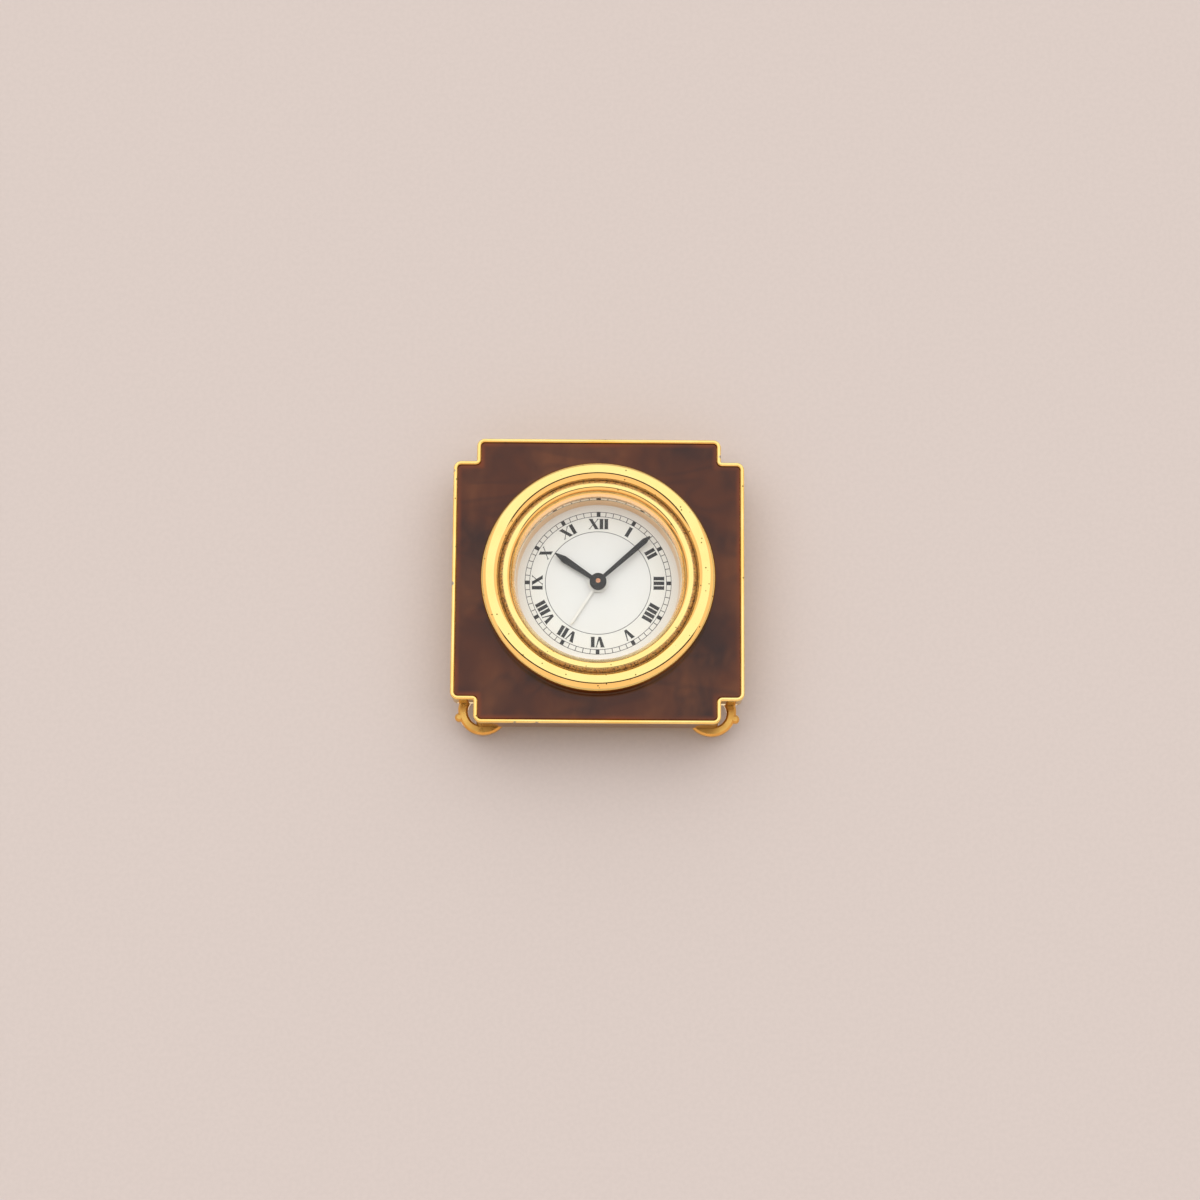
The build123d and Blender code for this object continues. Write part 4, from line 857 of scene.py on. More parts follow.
def add_turned(bm: BMesh, outline: Sequence[Point], steps: int, centre: Point = (0.0, 0.0)) -> None:
    """Turns a closed outline of radius and height about an upright axis.

    Args:
        bm: Mesh to add to.
        outline: The outline, clear of the axis.
        steps: Chords in a full turn.
        centre: Where the axis stands.
    """
    add_loops(bm, [circle(radius, z, steps, centre) for radius, z in outline])


def add_plate(bm: BMesh, outlines: Sequence[Polygon], bottom: float, top: float, edge: float) -> None:
    """A flat plate with a hole and softened edges.

    Args:
        bm: Mesh to add to, empty so far.
        outlines: Its outside, and the outline of its hole.
        bottom: Lower level.
        top: Upper level.
        edge: Width of the softened edges.
    """
    edges = []
    for ring in outlines:
        verts = [bm.verts.new((x, y, top)) for x, y in ring]
        edges += [bm.edges.new((verts[i], verts[(i + 1) % len(verts)])) for i in range(len(verts))]
    filled = bmesh.ops.triangle_fill(bm, use_beauty=True, edges=edges)
    faces = [f for f in filled["geom"] if isinstance(f, bmesh.types.BMFace)]
    bmesh.ops.recalc_face_normals(bm, faces=faces)
    grown = bmesh.ops.extrude_face_region(bm, geom=faces)
    for vert in (v for v in grown["geom"] if isinstance(v, bmesh.types.BMVert)):
        vert.co.z = bottom
    bmesh.ops.recalc_face_normals(bm, faces=bm.faces[:])
    corners = [e for e in bm.edges if len(e.link_faces) == 2 and e.calc_face_angle() > math.radians(CORNER)
               and abs(e.verts[0].co.z - e.verts[1].co.z) < LEVEL]
    bmesh.ops.bevel(bm, geom=corners, offset=edge, segments=2, profile=0.5, affect="EDGES",
                    clamp_overlap=True)


@dataclass
class Levels:
    """Heights that the pieces share, above the plane that the clock lies on."""

    back: float = 7.0
    nut_bottom: float = 9.4
    dial_bottom: float = 10.2
    dial_top: float = 10.7
    plate_bottom: float = 11.2
    panel_bottom: float = 12.8
    panel_top: float = 13.6
    front: float = 14.0
    crystal_bottom: float = 14.8
    crystal_top: float = 16.4
    bead_base: float = 17.3
    skirt_radius: float = 26.9
    skirt_bore: float = 24.6
    slip: float = 0.2
    hand_clearance: float = 0.35
    hand_pitch: float = 0.7


@dataclass
class CaseFront:
    """Gilt case frame with stepped corners and its bead rim, and the lacquer panel inside it."""

    levels: Levels
    half_width: float = 37.4962
    corner_step: float = 6.0
    outer_round: float = 2.0
    inner_round: float = 0.3
    wall_round: float = 0.9
    least_round: float = 0.3
    wall: float = 1.3
    rim_width: float = 1.02
    rim_height: float = 1.6
    rim_stand_out: float = 0.35
    rim_round: float = 0.46
    panel_fit: float = 0.05
    panel_edge: float = 0.22
    boss_radius: float = 2.2
    boss_bore: float = 0.8
    boss_x: float = 33.446
    boss_y: float = 22.498
    boss_bottom: float = 8.2
    corner_chords: int = 10
    side_chords: int = 34
    step_chords: int = 4
    bead_chords: int = 10
    under_chords: int = 5
    edge_chords: int = 6
    boss_chords: int = 32

    def outline(self, inset: float, inner_round: float) -> list[Point]:
        """The square with stepped corners, drawn in from the rim's outside.

        Args:
            inset: How far it is drawn in.
            inner_round: Radius of the inward corners before it is drawn in.

        Returns:
            Its points, always the same number of them.
        """
        outer = self.half_width - inset
        inner = outer - self.corner_step
        tip = max(self.outer_round - inset, self.least_round)
        hollow = inner_round + inset
        corners = ((outer, -inner, tip), (outer, inner, tip), (inner, inner, hollow))
        ring = [(*self.turned_quarter(x, y, q), r) for q in range(4) for x, y, r in corners]
        points: list[Point] = []
        for i, (x, y, r) in enumerate(ring):
            before, after = ring[i - 1], ring[(i + 1) % len(ring)]
            arrive = Vector((x - before[0], y - before[1])).normalized()
            leave = Vector((after[0] - x, after[1] - y)).normalized()
            middle = Vector((x, y)) - arrive * r + leave * r
            for k in range(self.corner_chords + 1):
                turn = math.pi / 2 * k / self.corner_chords
                points.append(tuple(middle - leave * r * math.cos(turn) + arrive * r * math.sin(turn)))
            start, end = Vector(points[-1]), Vector((after[0], after[1])) - leave * after[2]
            chords = self.side_chords if i % 3 == 0 else self.step_chords
            points += [tuple(start.lerp(end, k / chords)) for k in range(1, chords)]
        return points

    @staticmethod
    def turned_quarter(x: float, y: float, quarters: int) -> Point:
        """A point turned by a number of quarters about the axis."""
        for _ in range(quarters):
            x, y = -y, x
        return (x, y)

    def loop(self, inset: float, z: float, inner_round: float) -> list[Triple]:
        """The stepped outline at a level."""
        return [(x, y, z) for x, y in self.outline(inset, inner_round)]

    def hole(self, z: float) -> list[Triple]:
        """The round hole for the bezel at a level, with one point for each point of the stepped outline."""
        radius = self.levels.skirt_radius + self.levels.slip
        turns = [math.atan2(y, x) for x, y in self.outline(0.0, self.inner_round)]
        return [(radius * math.cos(t), radius * math.sin(t), z) for t in turns]

    def build_frame(self) -> None:
        """The frame: side walls, face plate, bead rim and screw bosses."""
        lv = self.levels
        low, bead = lv.front - self.rim_height, lv.front - self.rim_round
        under = min(self.rim_round, self.rim_stand_out)
        section = [(self.rim_stand_out, lv.back), (self.rim_stand_out, low)]
        section += arc((under, low + under), under, 270.0, 180.0, self.under_chords)[1:]
        section += arc((self.rim_round, bead), self.rim_round, 180.0, 90.0, self.bead_chords)
        section += arc((self.rim_width - self.rim_round, bead), self.rim_round, 90.0, 0.0, self.bead_chords)
        section.append((self.rim_width, lv.panel_bottom))
        loops = [self.loop(*p, self.inner_round) for p in section]
        loops += [self.hole(z) for z in (lv.panel_bottom, lv.plate_bottom)]
        inside = self.rim_stand_out + self.wall
        loops += [self.loop(inside, z, self.wall_round) for z in (lv.plate_bottom, lv.back)]
        bm = bmesh.new()
        add_loops(bm, loops)
        boss = rectangle(self.boss_bore, self.boss_radius, self.boss_bottom, lv.plate_bottom)
        for up in (1, -1):
            for right in (1, -1):
                add_turned(bm, boss, self.boss_chords, (right * self.boss_x, up * self.boss_y))
        add_piece("frame_with_bead_rim", bm, Body.CASE, Slot.FRAME, "case_frame")

    def build_panel(self) -> None:
        """The lacquer panel, with a softened outer edge."""
        lv = self.levels
        inset, edge = self.rim_width + self.panel_fit, self.panel_edge
        section = [(inset, lv.panel_bottom)]
        section += arc((inset + edge, lv.panel_top - edge), edge, 180.0, 90.0, self.edge_chords)
        loops = [self.loop(*p, self.inner_round) for p in section]
        loops += [self.hole(z) for z in (lv.panel_top, lv.panel_bottom)]
        bm = bmesh.new()
        add_loops(bm, loops)
        add_piece("burl_lacquer_panel", bm, Body.CASE, Slot.LACQUER, "lacquer_panel")


@dataclass
class Bezel:
    """Bezel ring with two half-round mouldings, the crystal under it and the sloping ring round the dial."""

    levels: Levels
    opening: float = 22.3
    lip: float = 21.45
    groove: float = 25.3
    outside: float = 30.1
    outer_rise: float = 2.3
    inner_rise: float = 1.6
    groove_rise: float = 0.5
    foot_round: float = 0.25
    crystal_radius: float = 23.2
    clear_radius: float = 21.43
    rehaut_top: float = 21.4
    rehaut_bottom: float = 20.75
    rehaut_flare: float = 0.4
    chords: int = 288
    foot_chords: int = 5
    outer_chords: int = 48
    inner_chords: int = 40
    crystal_chords: int = 192
    slope_chords: int = 14

    def build_ring(self) -> None:
        """The bezel ring with its skirt."""
        lv, foot = self.levels, self.foot_round
        groove = (self.groove, lv.bead_base + self.groove_rise)
        outer_crest = ((self.groove + self.outside) / 2, lv.bead_base + self.outer_rise)
        inner_crest = ((self.groove + self.opening) / 2, lv.bead_base + self.inner_rise)
        section = [(self.lip, lv.crystal_top), (lv.skirt_bore, lv.crystal_top),
                   (lv.skirt_bore, lv.nut_bottom), (lv.skirt_radius, lv.nut_bottom),
                   (lv.skirt_radius, lv.panel_top)]
        section += arc((self.outside - foot, lv.panel_top + foot), foot, 270.0, 360.0, self.foot_chords)
        section += arc_through((self.outside, lv.bead_base), outer_crest, groove, self.outer_chords)
        section += arc_through(groove, inner_crest, (self.opening, lv.bead_base), self.inner_chords)[1:]
        bm = bmesh.new()
        add_turned(bm, section, self.chords)
        add_piece("moulded_bezel", bm, Body.CASE, Slot.BEZEL, "bezel_ring")

    def build_crystal(self) -> None:
        """The clear disc of the crystal."""
        levels = (self.levels.crystal_bottom, self.levels.crystal_top)
        bm = bmesh.new()
        add_loops(bm, [circle(self.clear_radius, z, self.crystal_chords) for z in levels], capped=True)
        add_piece("flat_crystal", bm, Body.CASE, Slot.CRYSTAL, "crystal")

    def build_crystal_edge(self) -> None:
        """The crystal's edge, which mirrors the dial."""
        lv = self.levels
        section = rectangle(self.clear_radius, self.crystal_radius, lv.crystal_bottom, lv.crystal_top)
        bm = bmesh.new()
        add_turned(bm, section, self.chords)
        add_piece("crystal_edge", bm, Body.CASE, Slot.CRYSTAL, finish=CRYSTAL_EDGE)

    def build_rehaut(self) -> None:
        """The polished sloping ring between the crystal and the dial."""
        lv = self.levels
        rise = lv.crystal_bottom - lv.dial_top
        width = self.rehaut_top - self.rehaut_bottom
        shares = [i / self.slope_chords for i in range(self.slope_chords + 1)]
        slope = [(self.rehaut_bottom + width * (t - self.rehaut_flare * t * (1 - t)), lv.dial_top + rise * t)
                 for t in shares]
        outside = lv.skirt_bore - lv.slip
        bm = bmesh.new()
        add_turned(bm, [*slope, (outside, lv.crystal_bottom), (outside, lv.dial_top)], self.chords)
        add_piece("sloping_rehaut", bm, Body.CASE, Slot.BEZEL, "rehaut_ring", finish=REHAUT_GILT)


class BarRing:
    """Equal bars set round a circle by Geometry Nodes, each along its own radius."""

    INPUTS = (("Count", "NodeSocketInt"), ("Radius", "NodeSocketFloat"), ("Length", "NodeSocketFloat"),
              ("Width", "NodeSocketFloat"), ("Height", "NodeSocketFloat"), ("Level", "NodeSocketFloat"),
              ("Finish", "NodeSocketMaterial"))

    def __init__(self) -> None:
        """Builds the node tree once."""
        self.tree = bpy.data.node_groups.new("ring_of_bars", "GeometryNodeTree")
        face = self.tree.interface
        self.keys = {name: face.new_socket(name, in_out="INPUT", socket_type=kind).identifier
                     for name, kind in self.INPUTS}
        face.new_socket("Geometry", in_out="OUTPUT", socket_type="NodeSocketGeometry")
        add, link = self.tree.nodes.new, self.tree.links.new
        source, sink = add("NodeGroupInput"), add("NodeGroupOutput")
        circle = add("GeometryNodeMeshCircle")
        link(source.outputs["Count"], circle.inputs["Vertices"])
        link(source.outputs["Radius"], circle.inputs["Radius"])
        lift, raised = add("ShaderNodeCombineXYZ"), add("GeometryNodeSetPosition")
        link(source.outputs["Level"], lift.inputs["Z"])
        link(circle.outputs["Mesh"], raised.inputs["Geometry"])
        link(lift.outputs[0], raised.inputs["Offset"])
        size, bar = add("ShaderNodeCombineXYZ"), add("GeometryNodeMeshCube")
        for name, axis in (("Length", "X"), ("Width", "Y"), ("Height", "Z")):
            link(source.outputs[name], size.inputs[axis])
        link(size.outputs[0], bar.inputs["Size"])
        index, share, turn = add("GeometryNodeInputIndex"), add("ShaderNodeMath"), add("ShaderNodeMath")
        share.operation, turn.operation = "DIVIDE", "MULTIPLY"
        link(index.outputs[0], share.inputs[0])
        link(source.outputs["Count"], share.inputs[1])
        link(share.outputs[0], turn.inputs[0])
        turn.inputs[1].default_value = 2 * math.pi
        angles, spin = add("ShaderNodeCombineXYZ"), add("FunctionNodeEulerToRotation")
        link(turn.outputs[0], angles.inputs["Z"])
        link(angles.outputs[0], spin.inputs[0])
        placed, real, painted = (add("GeometryNodeInstanceOnPoints"), add("GeometryNodeRealizeInstances"),
                                 add("GeometryNodeSetMaterial"))
        link(raised.outputs[0], placed.inputs["Points"])
        link(bar.outputs["Mesh"], placed.inputs["Instance"])
        link(spin.outputs[0], placed.inputs["Rotation"])
        link(placed.outputs[0], real.inputs[0])
        link(real.outputs[0], painted.inputs["Geometry"])
        link(source.outputs["Finish"], painted.inputs["Material"])
        link(painted.outputs[0], sink.inputs[0])

    def make(self, name: str, finish: Finish, count: int, inner: float, outer: float, width: float,
             bottom: float, top: float) -> Piece:
        """One ring of bars as a plain mesh.

        Args:
            name: Name of the piece.
            finish: Its finish.
            count: Number of bars.
            inner: Radius at which a bar starts.
            outer: Radius at which it ends.
            width: Its width.
            bottom: Its lower level.
            top: Its upper level.

        Returns:
            The object, at the origin.
        """
        made = bpy.data.objects.new(name, bpy.data.meshes.new(name + "_seed"))
        bpy.context.scene.collection.objects.link(made)
        nodes = made.modifiers.new("ring_of_bars", "NODES")
        nodes.node_group = self.tree
        values = {"Count": count, "Radius": (inner + outer) / 2 * MM, "Length": (outer - inner) * MM,
                  "Width": width * MM, "Height": (top - bottom) * MM, "Level": (bottom + top) / 2 * MM,
                  "Finish": finish.material()}
        for key, value in values.items():
            nodes[self.keys[key]] = value
        return settle_modifiers(made)


@dataclass
class Lettering:
    """Bold Roman numerals with hair strokes and flat serifs, drawn as plain polygons."""

    height: float = 2.75
    bar: float = 0.92
    hair: float = 0.22
    serif: float = 0.13
    reach: float = 0.1
    hair_reach: float = 0.16
    gap: float = 0.12
    vee_width: float = 2.4
    vee_foot: float = 0.54
    vee_foot_half: float = 0.34
    vee_fork: float = 0.3
    ex_width: float = 2.65

    def one(self, left: float) -> Strokes:
        """The stroke I.

        Args:
            left: Where it starts.

        Returns:
            Its polygons and its width.
        """
        width = self.bar + 2 * self.reach
        top = self.height - self.serif
        return [rectangle(left + self.reach, left + self.reach + self.bar, self.serif, top),
                rectangle(left, left + width, 0.0, self.serif),
                rectangle(left, left + width, top, self.height)], width

    def five(self, left: float) -> Strokes:
        """The letter V, with a bold first stroke and a hair second stroke.

        Args:
            left: Where it starts.

        Returns:
            Its polygons and its width.
        """
        top = self.height - self.serif
        right = left + self.vee_width
        start, end = left + self.reach, right - self.hair_reach
        foot = left + self.vee_width * self.vee_foot
        half = self.bar * self.vee_foot_half
        fork = (foot + half + self.vee_fork * (start + self.bar - foot - half), self.vee_fork * top)
        return [[(start, top), (foot - half, 0.0), (foot + half, 0.0), fork, (start + self.bar, top)],
                [(foot + half, 0.0), (end, top), (end - self.hair, top), fork],
                rectangle(left, start + self.bar + self.reach, top, self.height),
                rectangle(end - self.hair - self.hair_reach, right, top, self.height)], self.vee_width

    def ten(self, left: float) -> Strokes:
        """The letter X, with a bold falling stroke and a hair rising stroke.

        Args:
            left: Where it starts.

        Returns:
            Its polygons and its width.
        """
        low, top = self.serif, self.height - self.serif
        right, wide = left + self.ex_width, self.hair_reach
        bold, fall = left + self.reach, right - self.reach - self.bar
        rise, end = left + wide, right - wide - self.hair

        def meet(stroke: float, edge: float) -> Point:
            """Where an edge of the hair stroke meets an edge of the bold one."""
            share = (fall + edge - rise - stroke) / ((end - rise) + (fall - bold))
            return (rise + stroke + (end - rise) * share, low + (top - low) * share)

        return [[(bold, top), (fall, low), (fall + self.bar, low), (bold + self.bar, top)],
                [(rise, low), (rise + self.hair, low), meet(self.hair, 0.0), meet(0.0, 0.0)],
                [meet(0.0, self.bar), meet(self.hair, self.bar), (end + self.hair, top), (end, top)],
                rectangle(left, bold + self.bar + self.reach, top, self.height),
                rectangle(fall - self.reach, right, 0.0, low),
                rectangle(rise - wide, rise + self.hair + wide, 0.0, low),
                rectangle(end - wide, end + self.hair + wide, top, self.height)], self.ex_width

    def word(self, text: str) -> list[Polygon]:
        """A numeral centred on its own middle.

        Args:
            text: Its letters, of I, V and X.

        Returns:
            Its polygons.
        """
        letters = {"I": self.one, "V": self.five, "X": self.ten}
        polygons: list[Polygon] = []
        pen = 0.0
        for letter in text:
            strokes, width = letters[letter](pen)
            polygons += strokes
            pen += width + self.gap
        half = (pen - self.gap) / 2
        return [[(x - half, y) for x, y in polygon] for polygon in polygons]


@dataclass
class DialFace:
    """White dial with its printed minute track, hour blocks, circles and numerals."""

    levels: Levels
    radius: float = 24.2
    bore: float = 1.9
    bore_edge: float = 0.06
    plate_chords: int = 192
    track_inner: float = 17.59
    track_outer: float = 18.8
    line: float = 0.14
    stroke: float = 0.17
    block_width: float = 0.95
    block_lift: float = 0.01
    circle_radius: float = 13.57
    circle_chords: int = 240
    numeral_foot: float = 14.25
    print_height: float = 0.03
    numerals: tuple[str, ...] = ("XII", "I", "II", "III", "IIII", "V", "VI", "VII", "VIII", "IX", "X", "XI")
    lettering: Lettering = field(default_factory=Lettering)

    @property
    def ink_top(self) -> float:
        """Level of the print's upper face."""
        return self.levels.dial_top + self.print_height

    def build_plate(self) -> None:
        """The dial plate with its bore."""
        low, top, edge = self.levels.dial_bottom, self.levels.dial_top, self.bore_edge
        section = [(self.bore, low), (self.radius, low), (self.radius, top), (self.bore + edge, top),
                   (self.bore, top - edge)]
        bm = bmesh.new()
        add_turned(bm, section, self.plate_chords)
        add_piece("white_dial", bm, Body.CASE, Slot.DIAL, "dial")

    def build_circles(self) -> None:
        """The printed circles of the minute track and inside the numerals."""
        half = self.line / 2
        bm = bmesh.new()
        for middle in (self.circle_radius, self.track_inner, self.track_outer):
            section = rectangle(middle - half, middle + half, self.levels.dial_top, self.ink_top)
            add_turned(bm, section, self.circle_chords)
        add_piece("printed_circles", bm, Body.CASE, None, finish=FINE_INK)

    def build_track(self) -> None:
        """The minute strokes and the hour blocks."""
        low, ring, half = self.levels.dial_top, BarRing(), self.line / 2
        strokes = ring.make("minute_strokes", FINE_INK, 60, self.track_inner + half, self.track_outer - half,
                            self.stroke, low, self.ink_top)
        blocks = ring.make("hour_blocks", INK, 12, self.track_inner - half, self.track_outer + half,
                           self.block_width, low, self.ink_top + self.block_lift)
        settle(strokes, Body.CASE, None)
        settle(blocks, Body.CASE, None)

    def build_numerals(self) -> None:
        """The numerals, each with its foot towards the middle."""
        levels = (self.levels.dial_top, self.ink_top)
        bm = bmesh.new()
        for hour, text in enumerate(self.numerals):
            turn = math.radians(90.0 - 30.0 * hour)
            out, side = Vector((math.cos(turn), math.sin(turn))), Vector((math.sin(turn), -math.cos(turn)))
            for polygon in self.lettering.word(text):
                spots = [tuple(side * x + out * (self.numeral_foot + y)) for x, y in polygon]
                add_loops(bm, [[(*spot, z) for spot in spots] for z in levels], capped=True)
        add_piece("roman_numerals", bm, Body.CASE, None, finish=INK)


@dataclass
class Hand:
    """One hand: a baton that widens towards a pointed tip, on a round hub."""

    name: str
    node: str
    body: Body
    slot: Slot
    length: float
    root: float
    width: float
    shoulder_share: float
    hub: float
    bore: float
    bottom: float
    turn: float
    thickness: float = 0.3
    edge: float = 0.07
    tip: float = 0.3
    boss_height: float = 0.0
    boss_inset: float = 0.03
    boss_round: float = 0.2
    boss_chords: int = 64
    round_chords: int = 5
    hub_chords: int = 48
    bore_chords: int = 32

    def spun(self, points: Iterable[Point]) -> Polygon:
        """Points drawn along +Y, turned clockwise to where the hand stands."""
        angle = math.radians(-self.turn)
        c, s = math.cos(angle), math.sin(angle)
        return [(x * c - y * s, x * s + y * c) for x, y in points]

    def add_boss(self, bm: BMesh) -> None:
        """Adds the round boss over the hub.

        Args:
            bm: Mesh to add to.
        """
        top, low, soft = self.bottom + self.boss_height, self.bottom + self.thickness, self.boss_round
        section = [(self.bore, low), (self.hub - self.boss_inset, low)]
        section += arc((self.hub - self.boss_inset - soft, top - soft), soft, 0.0, 90.0, self.round_chords)
        section.append((self.bore, top))
        add_turned(bm, section, self.boss_chords)

    def build(self) -> None:
        """The hand with its hub."""
        half = math.degrees(math.asin(self.root / 2 / self.hub))
        hub = arc((0.0, 0.0), self.hub, 90.0 + half, 450.0 - half, self.hub_chords)
        shoulder = self.length * self.shoulder_share
        outline = [*hub, (self.width / 2, shoulder), (self.tip / 2, self.length),
                   (-self.tip / 2, self.length), (-self.width / 2, shoulder)]
        bore = arc((0.0, 0.0), self.bore, 0.0, 360.0, self.bore_chords)[:-1]
        bm = bmesh.new()
        add_plate(bm, (self.spun(outline), bore), self.bottom, self.bottom + self.thickness, self.edge)
        if self.boss_height:
            self.add_boss(bm)
        add_piece(self.name, bm, self.body, self.slot, self.node)


def build_hands(levels: Levels) -> None:
    """The three hands, the alarm hand lowest.

    Args:
        levels: The shared heights.
    """
    alarm_bottom = levels.dial_top + levels.hand_clearance
    hour_bottom = alarm_bottom + levels.hand_pitch
    minute_bottom = hour_bottom + levels.hand_pitch
    for hand in (
        Hand("baton_minute_hand", "minute_hand", Body.MINUTE, Slot.HAND, length=17.9, root=1.0, width=1.5,
             shoulder_share=0.9, hub=2.15, bore=0.6, bottom=minute_bottom, turn=48.0, boss_height=0.7),
        Hand("baton_hour_hand", "hour_hand", Body.HOUR, Slot.HAND, length=13.4, root=1.1, width=1.8,
             shoulder_share=0.8, hub=2.15, bore=1.0, bottom=hour_bottom, turn=304.0),
        Hand("thin_alarm_hand", "alarm_hand", Body.ALARM, Slot.PALE_HAND, length=13.1, root=0.7, width=0.7,
             shoulder_share=0.93, hub=2.65, bore=1.45, bottom=alarm_bottom, turn=212.0),
    ):
        hand.build()


@dataclass
class SoftSolid:
    """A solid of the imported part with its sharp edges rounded."""

    name: str
    node: str
    body: Body
    slot: Slot
    finish: Finish
    round: float = 0.16
    chords: int = 3
    crease: float = 32.0
    flat: float = 0.5
    weld: float = 0.0005

    def build(self, frame: dict) -> None:
        """The rounded solid.
        """
        bm = bmesh.new()
        bm.from_mesh(frame["nodes"][self.node].data)
        for vert in bm.verts:
            vert.co /= MM
        bmesh.ops.remove_doubles(bm, verts=bm.verts[:], dist=self.weld)
        flat = math.radians(self.flat)
        bmesh.ops.dissolve_limit(bm, angle_limit=flat, verts=bm.verts[:], edges=bm.edges[:])
        made = make_piece(self.name, bm, self.finish)
        edge = made.modifiers.new("rounding", "BEVEL")
        edge.width, edge.segments = self.round * MM, self.chords
        edge.limit_method, edge.angle_limit = "ANGLE", math.radians(self.crease)
        edge.use_clamp_overlap = False
        edge.harden_normals = True
        settle(settle_modifiers(made), self.body, self.slot, self.node)


def build_back(frame: dict) -> None:
    """The controls and the hinge lugs, with rounded edges.
    """
    stand, slide = FINISHES[Slot.STAND], FINISHES[Slot.SLIDE]
    for piece in (
        SoftSolid("coin_slot_hatch", "battery_hatch", Body.HATCH, Slot.BACK, CONTROL_GILT, 0.22),
        SoftSolid("fluted_time_knob", "time_knob", Body.TIME_SETTER, Slot.BACK, CONTROL_GILT, 0.12),
        SoftSolid("fluted_alarm_knob", "alarm_knob", Body.ALARM_SETTER, Slot.BACK, CONTROL_GILT, 0.12),
        SoftSolid("ribbed_alarm_slide", "alarm_slide", Body.SLIDE, Slot.SLIDE, slide, 0.1),
        SoftSolid("hinge_lugs", "stand_lugs", Body.CASE, Slot.STAND, stand, 0.25),
    ):
        piece.build(frame)


def dress_solids(frame: dict) -> None:
    """Gives each solid the finish of its slot.
    """
    for name, solid in frame["nodes"].items():
        for slot in solid.material_slots:
            slot.material = FINISHES[Slot(slot.material.name)].material()
        log.info("%s has the finish of its slot", name)


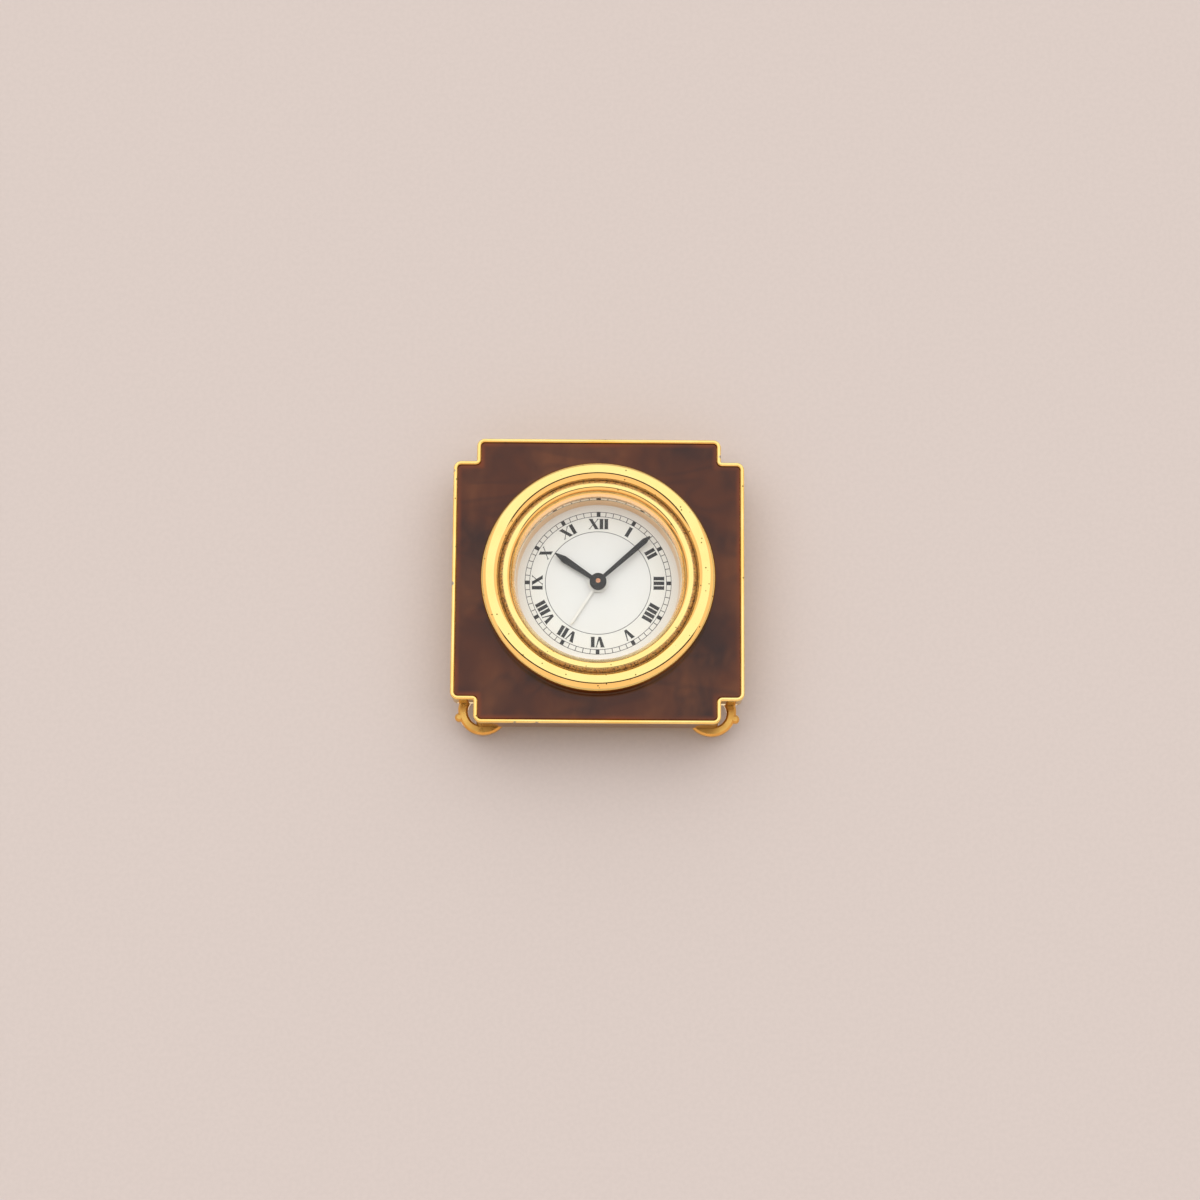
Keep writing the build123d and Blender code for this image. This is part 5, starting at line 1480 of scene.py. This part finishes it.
@dataclass
class Studio:
    """Floor, soft light and camera."""

    floor_radius: float = 2500.0
    floor_drop: float = 0.05
    floor_chords: int = 96
    floor_shade: float = 0.97
    floor_weave: float = 900.0
    floor: Colour = (0.548, 0.468, 0.434)
    backdrop: Colour = (0.73, 0.63, 0.585)
    softbox: Colour = (2.03, 2.03, 2.01)
    mirrored_softbox: Colour = (1.25, 1.25, 1.23)
    surround: Colour = (0.76, 0.75, 0.745)
    mirrored_surround: Colour = (1.10, 0.79, 0.625)
    gap: Colour = (0.03, 0.025, 0.02)
    under_dim: Colour = (0.36, 0.33, 0.31)
    under_lit: Colour = (1.3, 1.26, 1.2)
    under_lamp: Triple = (0.35, 0.32, -0.88)
    near_edge: float = -12.0
    gap_edge: float = -25.0
    half_breadth: float = 0.75
    line_blur: float = 0.015
    side_blur: float = 0.025
    horizon: Point = (-0.02, 0.06)
    under_horizon: Point = (-0.04, -0.2)
    lamp_spread: Point = (0.15, 1.0)
    clip: Point = (0.01, 20.0)
    tilt: float = 13.6
    distance: float = 950.0
    roll: float = 0.4
    target: Triple = (0.52, -5.04, 12.85)
    lens: float = 111.25

    def build_floor(self) -> None:
        """A plain pale floor, clear from below so that the back can be looked at."""
        mesh = bpy.data.meshes.new("floor")
        spots = circle(self.floor_radius * MM, -self.floor_drop * MM, self.floor_chords)
        mesh.from_pydata(spots, [], [list(range(self.floor_chords))])
        darker = tuple(self.floor_shade * c for c in self.floor)
        paint = FloorPaint("floor_paint", self.floor, darker, patch=self.floor_weave)
        mesh.materials.append(paint.material())
        made = bpy.data.objects.new("floor", mesh)
        bpy.context.scene.collection.objects.link(made)

    def build_light(self) -> None:
        """A wide soft light overhead, open behind the clock, in a dimmer warm room."""
        world = bpy.data.worlds.new("studio")
        bpy.context.scene.world = world
        world.use_nodes = True
        graph = Graph(world.node_tree)
        way = graph.add("ShaderNodeTexCoord").outputs["Generated"]
        x, y, z = graph.split(way)
        path = graph.add("ShaderNodeLightPath")

        def beyond(angle: float) -> Socket:
            """1 on the far side of a line across the sky at an angle from the zenith towards +Y."""
            turn = math.radians(angle)
            side = graph.math("SUBTRACT", graph.times(y, math.cos(turn)),
                              graph.times(z, math.sin(turn)))
            return graph.span(side, -self.line_blur, self.line_blur)

        wide, narrow = self.half_breadth + self.side_blur, self.half_breadth - self.side_blur
        breadth = graph.span(graph.math("ABSOLUTE", x), wide, narrow)
        above = graph.span(z, *self.horizon)
        inside = graph.times(breadth, above)
        mirrored = path.outputs["Is Glossy Ray"]
        room = graph.mix(mirrored, self.surround, self.mirrored_surround)
        facing = graph.add("ShaderNodeVectorMath", {0: way, 1: self.under_lamp}, operation="DOT_PRODUCT")
        lamp = graph.span(facing.outputs["Value"], *self.lamp_spread)
        under = graph.mix(lamp, self.under_dim, self.under_lit)
        room = graph.mix(graph.span(z, *self.under_horizon), room, under)
        box = graph.mix(mirrored, self.softbox, self.mirrored_softbox)
        sky = graph.mix(graph.times(inside, beyond(self.gap_edge)), room, self.gap)
        sky = graph.mix(graph.times(inside, beyond(self.near_edge)), sky, box)
        seen = graph.math("MAXIMUM", path.outputs["Is Camera Ray"], path.outputs["Is Transmission Ray"])
        shade = graph.add("ShaderNodeBackground", {"Color": graph.mix(seen, sky, self.backdrop)})
        graph.add("ShaderNodeOutputWorld", {"Surface": shade.outputs[0]})

    def build_camera(self) -> None:
        """The camera, a little below the normal of the dial."""
        turn = math.radians(self.tilt)
        back = Vector((0.0, -math.sin(turn), math.cos(turn)))
        data = bpy.data.cameras.new("camera")
        data.lens = self.lens
        data.clip_start, data.clip_end = self.clip
        camera = bpy.data.objects.new("camera", data)
        bpy.context.scene.collection.objects.link(camera)
        camera.rotation_mode = "QUATERNION"
        camera.location = (Vector(self.target) + back * self.distance) * MM
        upright = (-back).to_track_quat("-Z", "Y")
        camera.rotation_quaternion = upright @ Quaternion((0.0, 0.0, 1.0), math.radians(self.roll))
        bpy.context.scene.camera = camera

    def build(self) -> None:
        """Sets up floor, light, camera and view transform."""
        self.build_floor()
        self.build_light()
        self.build_camera()
        bpy.context.scene.view_settings.view_transform = "Standard"


def main() -> None:
    """Builds the clock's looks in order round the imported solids."""
    logging.basicConfig(level=logging.INFO, format="%(name)s: %(message)s")
    for old in list(bpy.data.objects):
        bpy.data.objects.remove(old)
    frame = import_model()
    levels = Levels()
    dress_solids(frame)
    front = CaseFront(levels)
    front.build_frame()
    front.build_panel()
    bezel = Bezel(levels)
    bezel.build_ring()
    bezel.build_crystal()
    bezel.build_crystal_edge()
    bezel.build_rehaut()
    dial = DialFace(levels)
    dial.build_plate()
    dial.build_circles()
    dial.build_track()
    dial.build_numerals()
    build_hands(levels)
    build_back(frame)
    Studio().build()


if __name__ == "__main__":
    main()
